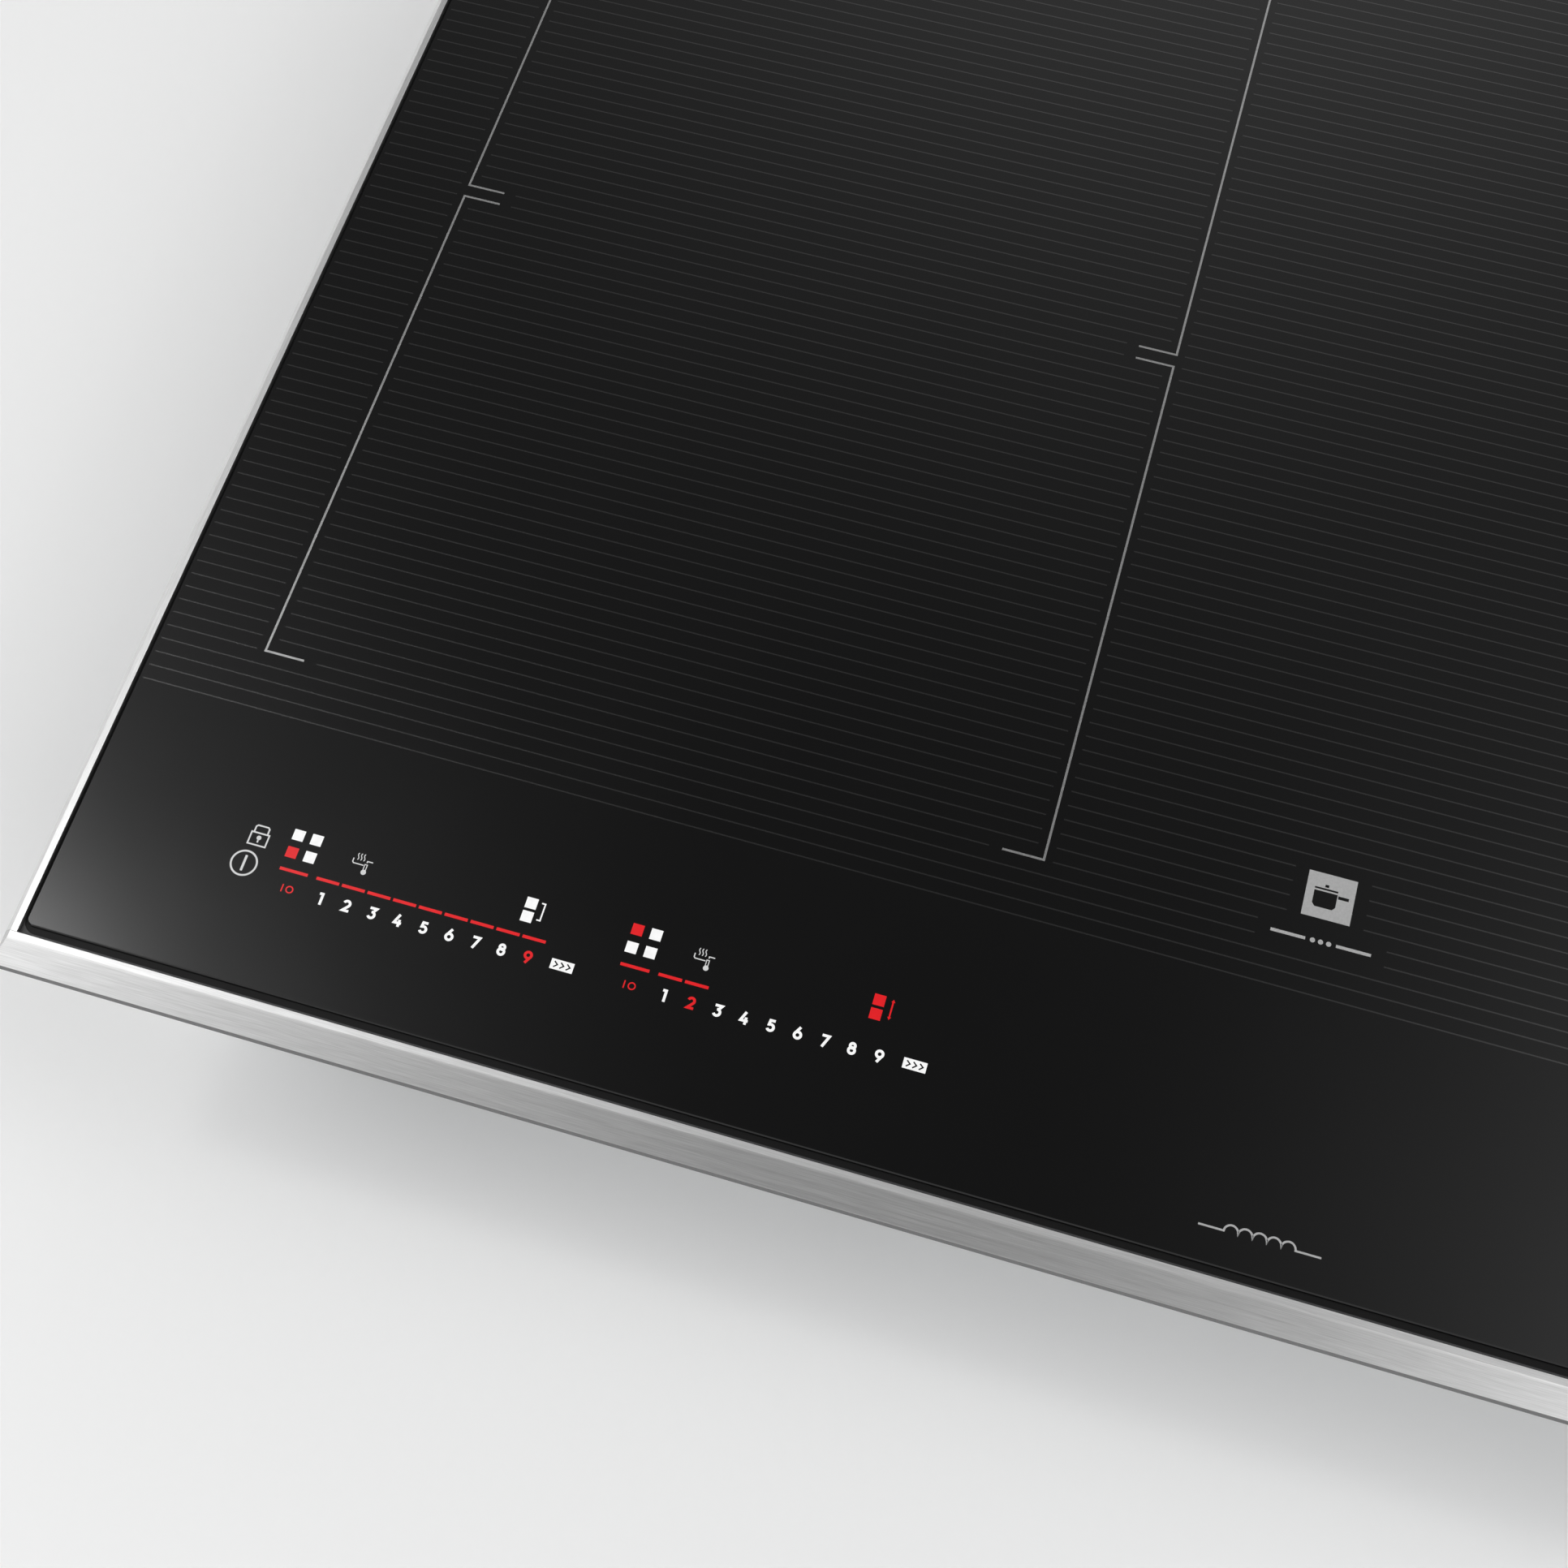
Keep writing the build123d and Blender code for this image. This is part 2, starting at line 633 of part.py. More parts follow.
def make_terminal_block():
    """Ceramic block with a rib beside each pair of clamping screws."""
    depth, height = TERMINAL_BODY
    base = FLOOR + 0.1
    rib = 2.0
    screw_r = 3.4
    with BuildPart() as terminal_block:
        block((TERMINALS * TERMINAL_PITCH, depth, height), (0, TERMINAL_Y), bottom=base)
        with BuildSketch(Plane.XY.offset(base + height)):
            with Locations((0, TERMINAL_Y)):
                with GridLocations(TERMINAL_PITCH, 1, TERMINALS + 1, 1):
                    Rectangle(rib, depth)
        extrude(amount=TERMINAL_RIB)
        with BuildSketch(Plane.XY.offset(base + height)):
            with Locations((0, TERMINAL_Y)):
                with GridLocations(TERMINAL_PITCH, depth / 2, TERMINALS, 2):
                    Circle(screw_r)
        extrude(amount=screw_r)
    save(terminal_block, "terminal_block")


def make_junction_cover():
    """Folded hood over the terminal block, open towards the power entry."""
    width, length, height = 104.0, 50.0, 40.0
    sheet = 1.0
    foot = 12.0
    middle = TERMINAL_Y + 3
    base = FLOOR + 0.1
    with BuildPart() as junction_cover:
        block((width, length, height), (0, middle), bottom=base)
        inside = (width - 2 * sheet, length, height - sheet)
        block(inside, (0, middle + sheet), bottom=base, mode=Mode.SUBTRACT)
        for sign in SIDES.values():
            block((foot, length, sheet), (sign * (width / 2 + foot / 2 - sheet), middle), bottom=base)
    save(junction_cover, "junction_cover")


def make_clamp_bracket(side, sign):
    """Angle bracket on the box wall, with a pressed-in nut for the thumbscrew."""
    wall = sign * BOX_W / 2
    reach = CLAMP_X + CLAMP_BEYOND - BOX_W / 2
    sheet_bottom = CLAMP_LEG_TOP - CLAMP_SHEET
    screw = (sign * CLAMP_X, CLAMP_Y)
    with BuildPart() as bracket:
        block((reach, CLAMP_WIDTH, CLAMP_SHEET), (wall + sign * reach / 2, CLAMP_Y), bottom=sheet_bottom)
        leg = (CLAMP_SHEET, CLAMP_WIDTH, CLAMP_LEG)
        block(leg, (wall + sign * CLAMP_SHEET / 2, CLAMP_Y), top=CLAMP_LEG_TOP)
        fillet(bracket.edges().filter_by(Axis.Z).group_by(Axis.X)[-1 if sign > 0 else 0], CLAMP_CORNER)
        posts([screw], CLAMP_HUB_R, sheet_bottom, CLAMP_LEG_TOP + CLAMP_NUT)
        posts([screw], THREAD_R + THREAD_FIT, sheet_bottom, CLAMP_LEG_TOP + CLAMP_NUT, mode=Mode.SUBTRACT)
        with BuildSketch(Plane.YZ.offset(wall)):
            with Locations(*clamp_screw_spots()):
                Circle(SCREW_HOLE_R)
        extrude(amount=2 * CLAMP_SHEET, both=True, mode=Mode.SUBTRACT)
    save(bracket, f"clamp_bracket_{side}")


def make_clamp_screw(side, sign):
    """Thumbscrew that pushes up on the countertop from below."""
    screw = (sign * CLAMP_X, CLAMP_Y)
    wing_top = CLAMP_END + CLAMP_WING[2]
    with BuildPart() as thumbscrew:
        posts([screw], THREAD_R, wing_top, CLAMP_TIP)
        chamfer(thumbscrew.faces().sort_by(Axis.Z)[-1].edges(), CLAMP_POINT)
        with BuildSketch(Plane.XY.offset(CLAMP_END)):
            with Locations(screw):
                Circle(CLAMP_HUB_R)
                SlotOverall(CLAMP_WING[0], CLAMP_WING[1], rotation=90)
        extrude(amount=CLAMP_WING[2])
    save(thumbscrew, f"clamp_screw_{side}")


# ---------------------------------------------------------------- coil units


def spring_spots(spot):
    return around(spot, SPRING_R, SPRINGS, SPRING_ANGLE)


def make_coil_insulator(name, spot):
    with BuildPart() as insulator:
        upright_ring(spot, (COIL_R, COIL_HOLE_R, MICA_T), WINDING_TOP)
    save(insulator, f"coil_insulator_{name}")


def make_coil_winding(name, spot):
    """Flat spiral of litz, closed up so that its turns touch and show as rounded ridges."""
    play = 0.1
    inner = COIL_R - WINDING_INSET - TURNS * TURN_PITCH
    outer = inner + TURNS * TURN_PITCH
    foot = play - WINDING_T
    valley = -play - TURN_CROWN
    with BuildPart() as winding:
        with BuildSketch(Plane(origin=(*spot, WINDING_TOP), x_dir=(1, 0, 0), z_dir=(0, -1, 0))):
            with BuildLine():
                for turn in range(TURNS):
                    start = inner + turn * TURN_PITCH
                    end = start + TURN_PITCH
                    ThreePointArc((start, valley), ((start + end) / 2, -play), (end, valley))
                Polyline((outer, valley), (outer, foot), (inner, foot), (inner, valley))
            make_face()
        revolve(axis=Axis((*spot, 0), (0, 0, 1)))
    save(winding, f"coil_winding_{name}")


def make_coil_carrier(name, spot):
    """Moulded disc with vents, pockets for the ferrite bars, spring cups and guide pins."""
    length, width, _ = FERRITE
    with BuildPart() as carrier:
        with BuildSketch(Plane.XY.offset(CARRIER_BOTTOM)):
            with Locations(spot):
                Circle(COIL_R)
                Circle(COIL_HOLE_R, mode=Mode.SUBTRACT)
                with PolarLocations(VENT_R, FERRITES, start_angle=SPRING_ANGLE):
                    SlotOverall(*VENT, mode=Mode.SUBTRACT)
        extrude(amount=CARRIER_T)
        with BuildSketch(Plane.XY.offset(CARRIER_BOTTOM)):
            with Locations(spot):
                with PolarLocations(FERRITE_R, FERRITES):
                    RectangleRounded(length + 2 * FERRITE_WALL, width + 2 * FERRITE_WALL, FERRITE_WALL)
                    Rectangle(length + 2 * FERRITE_PLAY, width + 2 * FERRITE_PLAY, mode=Mode.SUBTRACT)
        extrude(amount=-FERRITE_POCKET)
        posts(spring_spots(spot), SPRING_CUP_R, CARRIER_BOTTOM, SPRING_SEAT)
        posts(spring_spots(spot), PIN_R, CARRIER_TOP, PIN_END)
    save(carrier, f"coil_carrier_{name}")


def make_coil_ferrites(name, spot):
    length, width, height = FERRITE
    with BuildPart() as ferrites:
        with BuildSketch(Plane.XY.offset(CARRIER_BOTTOM - height)):
            with Locations(spot):
                with PolarLocations(FERRITE_R, FERRITES):
                    Rectangle(length, width)
        extrude(amount=height)
    save(ferrites, f"coil_ferrites_{name}")


def make_coil_springs(name, spot):
    with BuildPart() as springs:
        with Locations((*spot, 0)):
            with PolarLocations(SPRING_R, SPRINGS, start_angle=SPRING_ANGLE):
                add(coil_spring().part)
    save(springs, f"coil_springs_{name}")


def coil_spring():
    """One helical spring on the Z axis, standing on the coil plate."""
    gap = 0.05
    low = PLATE_TOP + gap + SPRING_WIRE_R
    height = SPRING_SEAT - gap - SPRING_WIRE_R - low
    with BuildPart() as spring:
        with BuildLine() as path:
            Helix(height / SPRING_TURNS, height, SPRING_MEAN_R, center=(0, 0, low))
        with BuildSketch(Plane(origin=path.line @ 0, z_dir=path.line % 0)):
            Circle(SPRING_WIRE_R)
        sweep()
    return spring


def make_sensors():
    """Sprung temperature probes that look up through each coil's centre at the glass."""
    spots = list(ZONES.values())
    with BuildPart() as temperature_sensors:
        posts(spots, SENSOR_R, PLATE_TOP, SENSOR_STEP)
        posts(spots, SENSOR_TIP_R, SENSOR_STEP, GLASS_BOTTOM - TOUCH_GAP)
    save(temperature_sensors, "temperature_sensors")


def make_coil_plate(side, sign):
    """Aluminium bridge over the electronics that the two coils of a side float on."""
    centre = sign * ZONE_X
    middle = (PLATE_FRONT + PLATE_REAR) / 2
    length = PLATE_REAR - PLATE_FRONT
    leg = PLATE_TOP - FLOOR
    window, corner = PLATE_WINDOW
    with BuildPart() as plate:
        block((PLATE_W, length, leg), (centre, middle), top=PLATE_TOP)
        hollow = (PLATE_W - 2 * PLATE_T, length, leg)
        block(hollow, (centre, middle), top=PLATE_TOP - PLATE_T, mode=Mode.SUBTRACT)
        for edge in (-1, 1):
            foot = centre + edge * (PLATE_W - PLATE_FOOT) / 2
            block((PLATE_FOOT, length, PLATE_T), (foot, middle), bottom=FLOOR)
            with BuildSketch(Plane.YZ.offset(centre + edge * PLATE_W / 2)):
                with Locations((middle, PLATE_TOP - leg / 2)):
                    with GridLocations(PLATE_WINDOW_PITCH, 1, PLATE_WINDOWS, 1):
                        RectangleRounded(window, leg - 2 * PLATE_RAIL, corner)
            extrude(amount=2 * PLATE_T, both=True, mode=Mode.SUBTRACT)
        for name, spot in ZONES.items():
            if side in name:
                plate_openings(spot)
    save(plate, f"coil_plate_{side}")


def plate_openings(spot):
    """Holes for one coil's guide pins, and slots round its centre for its leads and air."""
    below = PLATE_TOP - 2 * PLATE_T
    posts(spring_spots(spot), PIN_HOLE_R, PLATE_TOP, below, mode=Mode.SUBTRACT)
    with BuildSketch(Plane.XY.offset(PLATE_TOP)) as slots:
        with Locations(spot):
            with PolarLocations(PLATE_OPENING_R, PLATE_OPENINGS):
                SlotOverall(*PLATE_OPENING)
    extrude(slots.sketch, amount=below - PLATE_TOP, mode=Mode.SUBTRACT)


# ---------------------------------------------------------------- inverter modules and fans


def make_module_tray(side, sign):
    """Plastic tray that carries one side's fan and inverter board."""
    centre = sign * ZONE_X
    middle = (TRAY_FRONT + TRAY_REAR) / 2
    length = TRAY_REAR - TRAY_FRONT
    screws = board_screw_spots(sign)
    with BuildPart() as tray:
        block((TRAY_W, length, TRAY_H), (centre, middle), bottom=TRAY_BASE)
        inside = (TRAY_W - 2 * TRAY_T, length - 2 * TRAY_T, TRAY_H)
        block(inside, (centre, middle), bottom=FAN_BOTTOM, mode=Mode.SUBTRACT)
        posts([(centre, FAN_Y)], FAN_BORE_R, TRAY_BASE, FAN_BOTTOM, mode=Mode.SUBTRACT)
        posts(screws, STANDOFF_R, TRAY_BASE, BOARD_BOTTOM)
        posts(screws, SCREW_HOLE_R, TRAY_BASE, BOARD_BOTTOM, mode=Mode.SUBTRACT)
    save(tray, f"module_tray_{side}")


def make_inverter_board(side, sign):
    with BuildPart() as board:
        block((BOARD_W, BOARD_L, BOARD_T), (sign * ZONE_X, BOARD_Y), bottom=BOARD_BOTTOM)
        posts(board_screw_spots(sign), SCREW_HOLE_R, BOARD_BOTTOM, BOARD_TOP, mode=Mode.SUBTRACT)
    save(board, f"inverter_board_{side}")


def make_heatsink(side, sign):
    """Extruded heatsink with its fins along the fan's draught."""
    width, length, height = HEATSINK
    centre = (sign * ZONE_X, BOARD_Y)
    with BuildPart() as heatsink:
        block((width, length, HEATSINK_BASE), centre, bottom=BOARD_TOP)
        fin = (FIN_T, length, height - HEATSINK_BASE)
        pitch = (width - FIN_T) / (FIN_COUNT - 1)
        block_grid(fin, centre, (pitch, 1), (FIN_COUNT, 1), BOARD_TOP + HEATSINK_BASE)
    save(heatsink, f"heatsink_{side}")


def make_inverter_parts(side, sign):
    """Film capacitors, a choke, can capacitors and transistors on each side of the heatsink."""
    with BuildPart() as parts:
        for edge in (-1, 1):
            column = sign * ZONE_X + edge * COMPONENT_COLUMN
            beside = sign * ZONE_X + edge * ((HEATSINK[0] + TRANSISTOR[0]) / 2 + TRANSISTOR_GAP)
            film = ((column, BOARD_Y), (1, FILM_PITCH), (1, FILM_CAPACITORS))
            block_grid(FILM_CAPACITOR, *film, BOARD_TOP, corner=COMPONENT_CORNER)
            upright_ring((column, CHOKE_Y), CHOKE, BOARD_TOP)
            cans = [(column + way * CAN_PITCH / 2, CAN_Y) for way in (-1, 1)]
            posts(cans, CAN_R, BOARD_TOP, BOARD_TOP + CAN_H)
            row = ((beside, BOARD_Y), (1, TRANSISTOR_PITCH), (1, TRANSISTORS))
            block_grid(TRANSISTOR, *row, BOARD_TOP)
    save(parts, f"inverter_parts_{side}")


def make_fan_housing(side, sign):
    """Square frame with its bore, and four arms that hold the bearing tube and the stator."""
    centre = (sign * ZONE_X, FAN_Y)
    arm, arm_t = FAN_ARM
    arm_reach = 2 * FAN_BORE_R + 1
    with BuildPart() as housing:
        with BuildSketch(Plane.XY.offset(FAN_BOTTOM)):
            with Locations(centre):
                RectangleRounded(FAN_SIZE, FAN_SIZE, FAN_CORNER)
                Circle(FAN_BORE_R, mode=Mode.SUBTRACT)
                with GridLocations(FAN_HOLE_PITCH, FAN_HOLE_PITCH, 2, 2):
                    Circle(FAN_HOLE_R, mode=Mode.SUBTRACT)
        extrude(amount=FAN_H)
        with BuildSketch(Plane.XY.offset(FAN_BOTTOM)):
            with Locations(centre):
                Circle(HUB_R)
                Rectangle(arm_reach, arm)
                Rectangle(arm, arm_reach)
        extrude(amount=arm_t)
        posts([centre], BEARING_TUBE_R, FAN_BOTTOM + arm_t, BEARING_TUBE_TOP)
        posts([centre], STATOR_R, STATOR_BOTTOM, STATOR_TOP)
        posts([centre], BEARING_R, BEARING_FLOOR, FAN_BOTTOM + FAN_H, mode=Mode.SUBTRACT)
    save(housing, f"fan_housing_{side}")


def fan_blade(centre, angle):
    """One flat blade, turned to its pitch, running out past the tip circle."""
    chord, thickness, pitch = BLADE
    spoke = Vector(1, 0, 0).rotate(Axis.Z, angle)
    root = Vector(*centre, BLADE_MIDDLE) + spoke * BLADE_ROOT_R
    with BuildSketch(Plane(origin=root, x_dir=spoke.cross(Vector(0, 0, 1)), z_dir=spoke)) as section:
        Rectangle(chord, thickness, rotation=pitch)
    extrude(section.sketch, amount=BLADE_TIP_R)


def make_fan_rotor(side, sign):
    """Blades trimmed to the tip circle, on a hub that is hollow below, with the shaft inside."""
    centre = (sign * ZONE_X, FAN_Y)
    with BuildPart() as rotor:
        for index in range(BLADES):
            fan_blade(centre, index * 360 / BLADES)
        posts([centre], BLADE_TIP_R, FAN_BOTTOM, FAN_BOTTOM + FAN_H, mode=Mode.INTERSECT)
        posts([centre], HUB_R, HUB_BOTTOM, HUB_TOP)
        posts([centre], HUB_R - HUB_WALL, FAN_BOTTOM, HUB_TOP - HUB_ROOF, mode=Mode.SUBTRACT)
        posts([centre], SHAFT_R, SHAFT_END, HUB_TOP)
    save(rotor, f"fan_rotor_{side}")


# ---------------------------------------------------------------- mains filter and touch controls


def filter_screw_spots():
    across, along = FILTER_SCREWS
    return [(x, FILTER_Y + y) for x in (-across, across) for y in (-along, along)]


def make_filter_board():
    with BuildPart() as filter_board:
        block((*FILTER_SIZE, BOARD_T), (0, FILTER_Y), bottom=BOARD_BOTTOM)
        posts(filter_screw_spots(), SCREW_HOLE_R, BOARD_BOTTOM, BOARD_TOP, mode=Mode.SUBTRACT)
    save(filter_board, "filter_board")


def make_filter_parts():
    """Mains choke, four capacitors and two relays."""
    with BuildPart() as filter_parts:
        upright_ring((0, FILTER_CHOKE_Y), FILTER_CHOKE, BOARD_TOP)
        capacitors = ((0, FILTER_CAPACITOR_Y), FILTER_CAPACITOR_PITCH, (2, 2))
        block_grid(FILTER_CAPACITOR, *capacitors, BOARD_TOP, corner=COMPONENT_CORNER)
        block_grid(RELAY, (0, RELAY_Y), (RELAY_PITCH, 1), (2, 1), BOARD_TOP)
    save(filter_parts, "filter_parts")


def scale_places():
    """Place along X of each zone's number 1. The four scales stand symmetrically."""
    inner, outer = SCALE_X
    length = (BARS - 1) * BAR_PITCH
    return (-outer - length, -inner - length, inner, outer)


def make_control_tray():
    """Plastic tray for the touch board, with pillars that it rests on."""
    inside_bottom = PANEL_BOTTOM + PANEL_WALL
    height = PANEL_TOP - PANEL_BOTTOM
    with BuildPart() as control_tray:
        block((PANEL_W, PANEL_D, height), (0, PANEL_Y), top=PANEL_TOP)
        inside = (PANEL_W - 2 * PANEL_WALL, PANEL_D - 2 * PANEL_WALL, height)
        block(inside, (0, PANEL_Y), bottom=inside_bottom, mode=Mode.SUBTRACT)
        with BuildSketch(Plane.XY.offset(inside_bottom)):
            with Locations((0, PANEL_Y)):
                with GridLocations(*PILLAR_PITCH, *PILLARS):
                    Circle(PILLAR_R)
        extrude(amount=CONTROL_BOARD_TOP - BOARD_T - inside_bottom)
    save(control_tray, "control_tray")


def make_control_board():
    inset = 2 * CONTROL_BOARD_INSET
    with BuildPart() as control_board:
        block((PANEL_W - inset, PANEL_D - inset, BOARD_T), (0, PANEL_Y), top=CONTROL_BOARD_TOP)
    save(control_board, "control_board")


def make_light_guides():
    """One clear bar under each lit stroke of the four scales."""
    bar = (*BAR_SIZE, GLASS_BOTTOM - TOUCH_GAP - CONTROL_BOARD_TOP)
    with BuildPart() as light_guides:
        for start in scale_places():
            middle = (start + (BARS - 1) / 2 * BAR_PITCH, BAR_ROW_Y)
            block_grid(bar, middle, (BAR_PITCH, 1), (BARS, 1), CONTROL_BOARD_TOP)
    save(light_guides, "control_light_guides")


def make_contact_pads():
    """Sensing pads pressed up against the glass under each key."""
    spots = [(sign * END_PAD_X, y) for sign in SIDES.values() for y in (KEY_ROW_Y, ICON_ROW_Y)]
    for start in scale_places():
        spots += [(start + along, KEY_ROW_Y) for along in KEY_PADS]
        spots += [(start + along, ICON_ROW_Y) for along in ICON_PADS]
    with BuildPart() as contact_pads:
        posts(spots, PAD_R, CONTROL_BOARD_TOP, GLASS_BOTTOM - TOUCH_GAP)
    save(contact_pads, "touch_contact_pads")


# ---------------------------------------------------------------- wiring and screws


def make_coil_leads():
    """One sleeved lead from each coil's opening in the plate down to its inverter board."""
    lead_r = 2.0
    above, below, knee = PLATE_TOP + 6, PLATE_TOP - 12, PLATE_TOP - 26
    foot = BOARD_TOP + 0.2
    with BuildPart() as coil_leads:
        for name, (x, y) in ZONES.items():
            beside = x + PLATE_OPENING_R
            landing = BOARD_FRONT + 12 if "front" in name else BOARD_REAR - 8
            run = [(beside, y, above), (beside, y, below), (beside, landing, knee), (beside, landing, foot)]
            with BuildLine() as route:
                FilletPolyline(*run, radius=3 * lead_r)
            with BuildSketch(Plane(origin=route.line @ 0, z_dir=route.line % 0)):
                Circle(lead_r)
            sweep(path=route.line)
    save(coil_leads, "coil_leads")


def make_ribbon_cable():
    """Flat cable with a plug at each end, from the touch board over its tray to the filter board."""
    width = 24.0
    thickness = 1.0
    plug = (26.0, 5.0, 2.4)
    gap = 0.1
    bend_r = 4.0
    start = (PANEL_REAR - 12, CONTROL_BOARD_TOP + plug[2] + gap)
    over_tray = (PANEL_REAR + 10, start[1])
    under_coils = [(-62, -58), (-28, -72)]
    end = (-9, BOARD_TOP + plug[2] + gap)
    before_end = (-16, end[1])
    with BuildPart() as ribbon_cable:
        with BuildSketch(Plane.YZ.offset(-width / 2)):
            with BuildLine():
                FilletPolyline(start, over_tray, *under_coils, before_end, end, radius=bend_r)
                offset(amount=thickness, side=Side.LEFT)
            make_face()
        extrude(amount=width)
        for (y, _), board in ((start, CONTROL_BOARD_TOP), (end, BOARD_TOP)):
            block(plug, (0, y), bottom=board + gap)
    save(ribbon_cable, "ribbon_cable")


def pan_screw(length):
    """A pan-head screw, head on top, shank down the Z axis from z = 0."""
    with BuildPart() as screw:
        radius, height = SCREW_HEAD
        with BuildSketch():
            Circle(radius)
        extrude(amount=height)
        fillet(screw.faces().sort_by(Axis.Z)[-1].edges(), height / 2)
        with BuildSketch():
            Circle(SCREW_R - 0.1)
        extrude(amount=-length)
    return screw.part


def make_fasteners():
    with BuildPart() as screws:
        under_flange = FRAME_BOTTOM - BOX_SHEET
        with Locations(*[Location((x, y, under_flange), (180, 0, 0)) for x, y in flange_screw_spots()]):
            add(pan_screw(FLANGE_SCREW))
        for sign in SIDES.values():
            with Locations(*[(x, y, BOARD_TOP) for x, y in board_screw_spots(sign)]):
                add(pan_screw(BOARD_TOP - BOX_BOTTOM - 0.2))
            face = sign * (BOX_W / 2 + CLAMP_SHEET)
            with Locations(*[Location((face, y, z), (0, sign * 90, 0)) for y, z in clamp_screw_spots()]):
                add(pan_screw(CLAMP_SCREW))
        with Locations(*[(x, y, BOARD_TOP) for x, y in filter_screw_spots()]):
            add(pan_screw(BOARD_TOP - FLOOR - 0.2))
    save(screws, "screws")


def main():
    make_glass()
    make_bond_seal()
    make_glass_frame()
    make_counter_seal()
    make_cross_trims()
    make_burner_box()
    make_supply_bushing()
    make_terminal_block()
    make_junction_cover()
    for side, sign in SIDES.items():
        for make in (
            make_side_trim,
            make_clamp_bracket,
            make_clamp_screw,
            make_coil_plate,
            make_module_tray,
            make_inverter_board,
            make_heatsink,
            make_inverter_parts,
            make_fan_housing,
            make_fan_rotor,
        ):
            make(side, sign)
    for name, spot in ZONES.items():
        make_coil_insulator(name, spot)
        make_coil_winding(name, spot)
        make_coil_carrier(name, spot)
        make_coil_ferrites(name, spot)
        make_coil_springs(name, spot)
    make_sensors()
    make_filter_board()
    make_filter_parts()
    make_control_tray()
    make_control_board()
    make_light_guides()
    make_contact_pads()
    make_coil_leads()
    make_ribbon_cable()
    make_fasteners()


main()
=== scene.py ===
import json
import math

import bmesh
import bpy
from mathutils import Matrix, Vector


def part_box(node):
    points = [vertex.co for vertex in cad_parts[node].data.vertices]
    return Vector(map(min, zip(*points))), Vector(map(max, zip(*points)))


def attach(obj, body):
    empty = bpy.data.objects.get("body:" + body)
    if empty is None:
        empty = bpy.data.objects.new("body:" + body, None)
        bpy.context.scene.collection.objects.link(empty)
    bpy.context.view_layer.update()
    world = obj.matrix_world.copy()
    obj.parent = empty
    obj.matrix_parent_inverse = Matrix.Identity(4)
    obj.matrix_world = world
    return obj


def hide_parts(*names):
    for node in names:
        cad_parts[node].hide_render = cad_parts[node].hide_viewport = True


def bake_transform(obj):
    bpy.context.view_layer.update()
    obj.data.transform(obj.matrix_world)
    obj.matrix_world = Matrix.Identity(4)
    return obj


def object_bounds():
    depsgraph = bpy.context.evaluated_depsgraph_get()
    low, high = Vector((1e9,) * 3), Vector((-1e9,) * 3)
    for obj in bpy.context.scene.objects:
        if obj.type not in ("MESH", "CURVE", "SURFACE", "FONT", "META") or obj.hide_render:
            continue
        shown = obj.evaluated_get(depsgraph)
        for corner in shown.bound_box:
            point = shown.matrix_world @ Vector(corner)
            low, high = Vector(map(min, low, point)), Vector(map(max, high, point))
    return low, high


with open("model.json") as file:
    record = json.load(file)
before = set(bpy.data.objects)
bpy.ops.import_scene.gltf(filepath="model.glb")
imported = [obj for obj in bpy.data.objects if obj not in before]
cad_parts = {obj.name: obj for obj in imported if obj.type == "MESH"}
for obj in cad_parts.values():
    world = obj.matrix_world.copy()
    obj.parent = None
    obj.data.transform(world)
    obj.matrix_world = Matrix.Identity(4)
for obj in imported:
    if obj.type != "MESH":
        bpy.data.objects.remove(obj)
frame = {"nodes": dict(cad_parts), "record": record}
cad_low, cad_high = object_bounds()

MM = 0.001
SIDES = {"left": -1, "right": 1}
ROWS = ("front", "rear")

# Everything printed on the glass is laid out on the pitch of its line pattern, with u to the
# right from the centreline and v to the rear from the first line.
glass_low, glass_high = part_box("glass_top")
PITCH = (cad_high.x - cad_low.x) / 154.5
FIRST_LINE_Y = glass_low.y + 17.6 * PITCH
PRINT_TOP = 0.03 * MM
PRINT_SUNK = 0.01 * MM
ROUND_POINTS = 28
MITRE_LIMIT = 0.35

LINES = 86
LINE_HALF = 75.9
LINE_WIDTH = 0.09
ZONE_MIDDLE = 43.26
ZONE_HALF = 25.82
ZONE_ROWS = ((4, 42), (43, 81))
BRACKET_WIDTH = 0.15
BRACKET_FOOT = 2.65
BRACKET_GAP = 0.58
FOOT_GAP = 0.85
# Rows that leave room for the rule and for the plaque, and the half width of the room.
EMBLEM_ROOMS = ((range(3, 5), 3.98), (range(5, 9), 2.38))
EMBLEM_HALF = 1.51
EMBLEM_LOW = 5.0
RULE_DROP = 1.5
RULE_HALF = 3.1
RULE_GAP = 0.95
RULE_WIDTH = 0.2
DOT_PITCH = 0.5
DOT_R = 0.16
COIL_LOOPS = 5
COIL_LOOP_R = 0.42
COIL_HALF = 3.6
COIL_V = -15.45
COIL_WIDTH = 0.12

# A scale's parts are placed from the left end of its first bar.
SCALE_STARTS = (-62.61, -40.49, 20.91, 43.12)
SEGMENT_START = 2.42
SEGMENT_PITCH = 1.678
SEGMENT_LENGTH = 1.49
BAR_LENGTH = 1.84
BAR_WIDTH = 0.2
BAR_V = -9.8
MARK_WIDTH = 0.08
ON_MARK = ((0.62, -11.24), (0.62, -10.74))
OFF_MARK = (1.1, -10.99)
OFF_MARK_R = 0.21
DIGIT_V = -11.0
DIGIT_HEIGHT = 0.8
DIGIT_STROKE = 0.21
SQUARE = 0.72
ZONE_KEY_CORNER = (-0.02, -9.0)
ZONE_KEY_PITCH = 1.19
BRIDGE_U = 15.33
BRIDGE_ROWS = (-7.99, -8.89)
BRIDGE_HEIGHT = 0.71
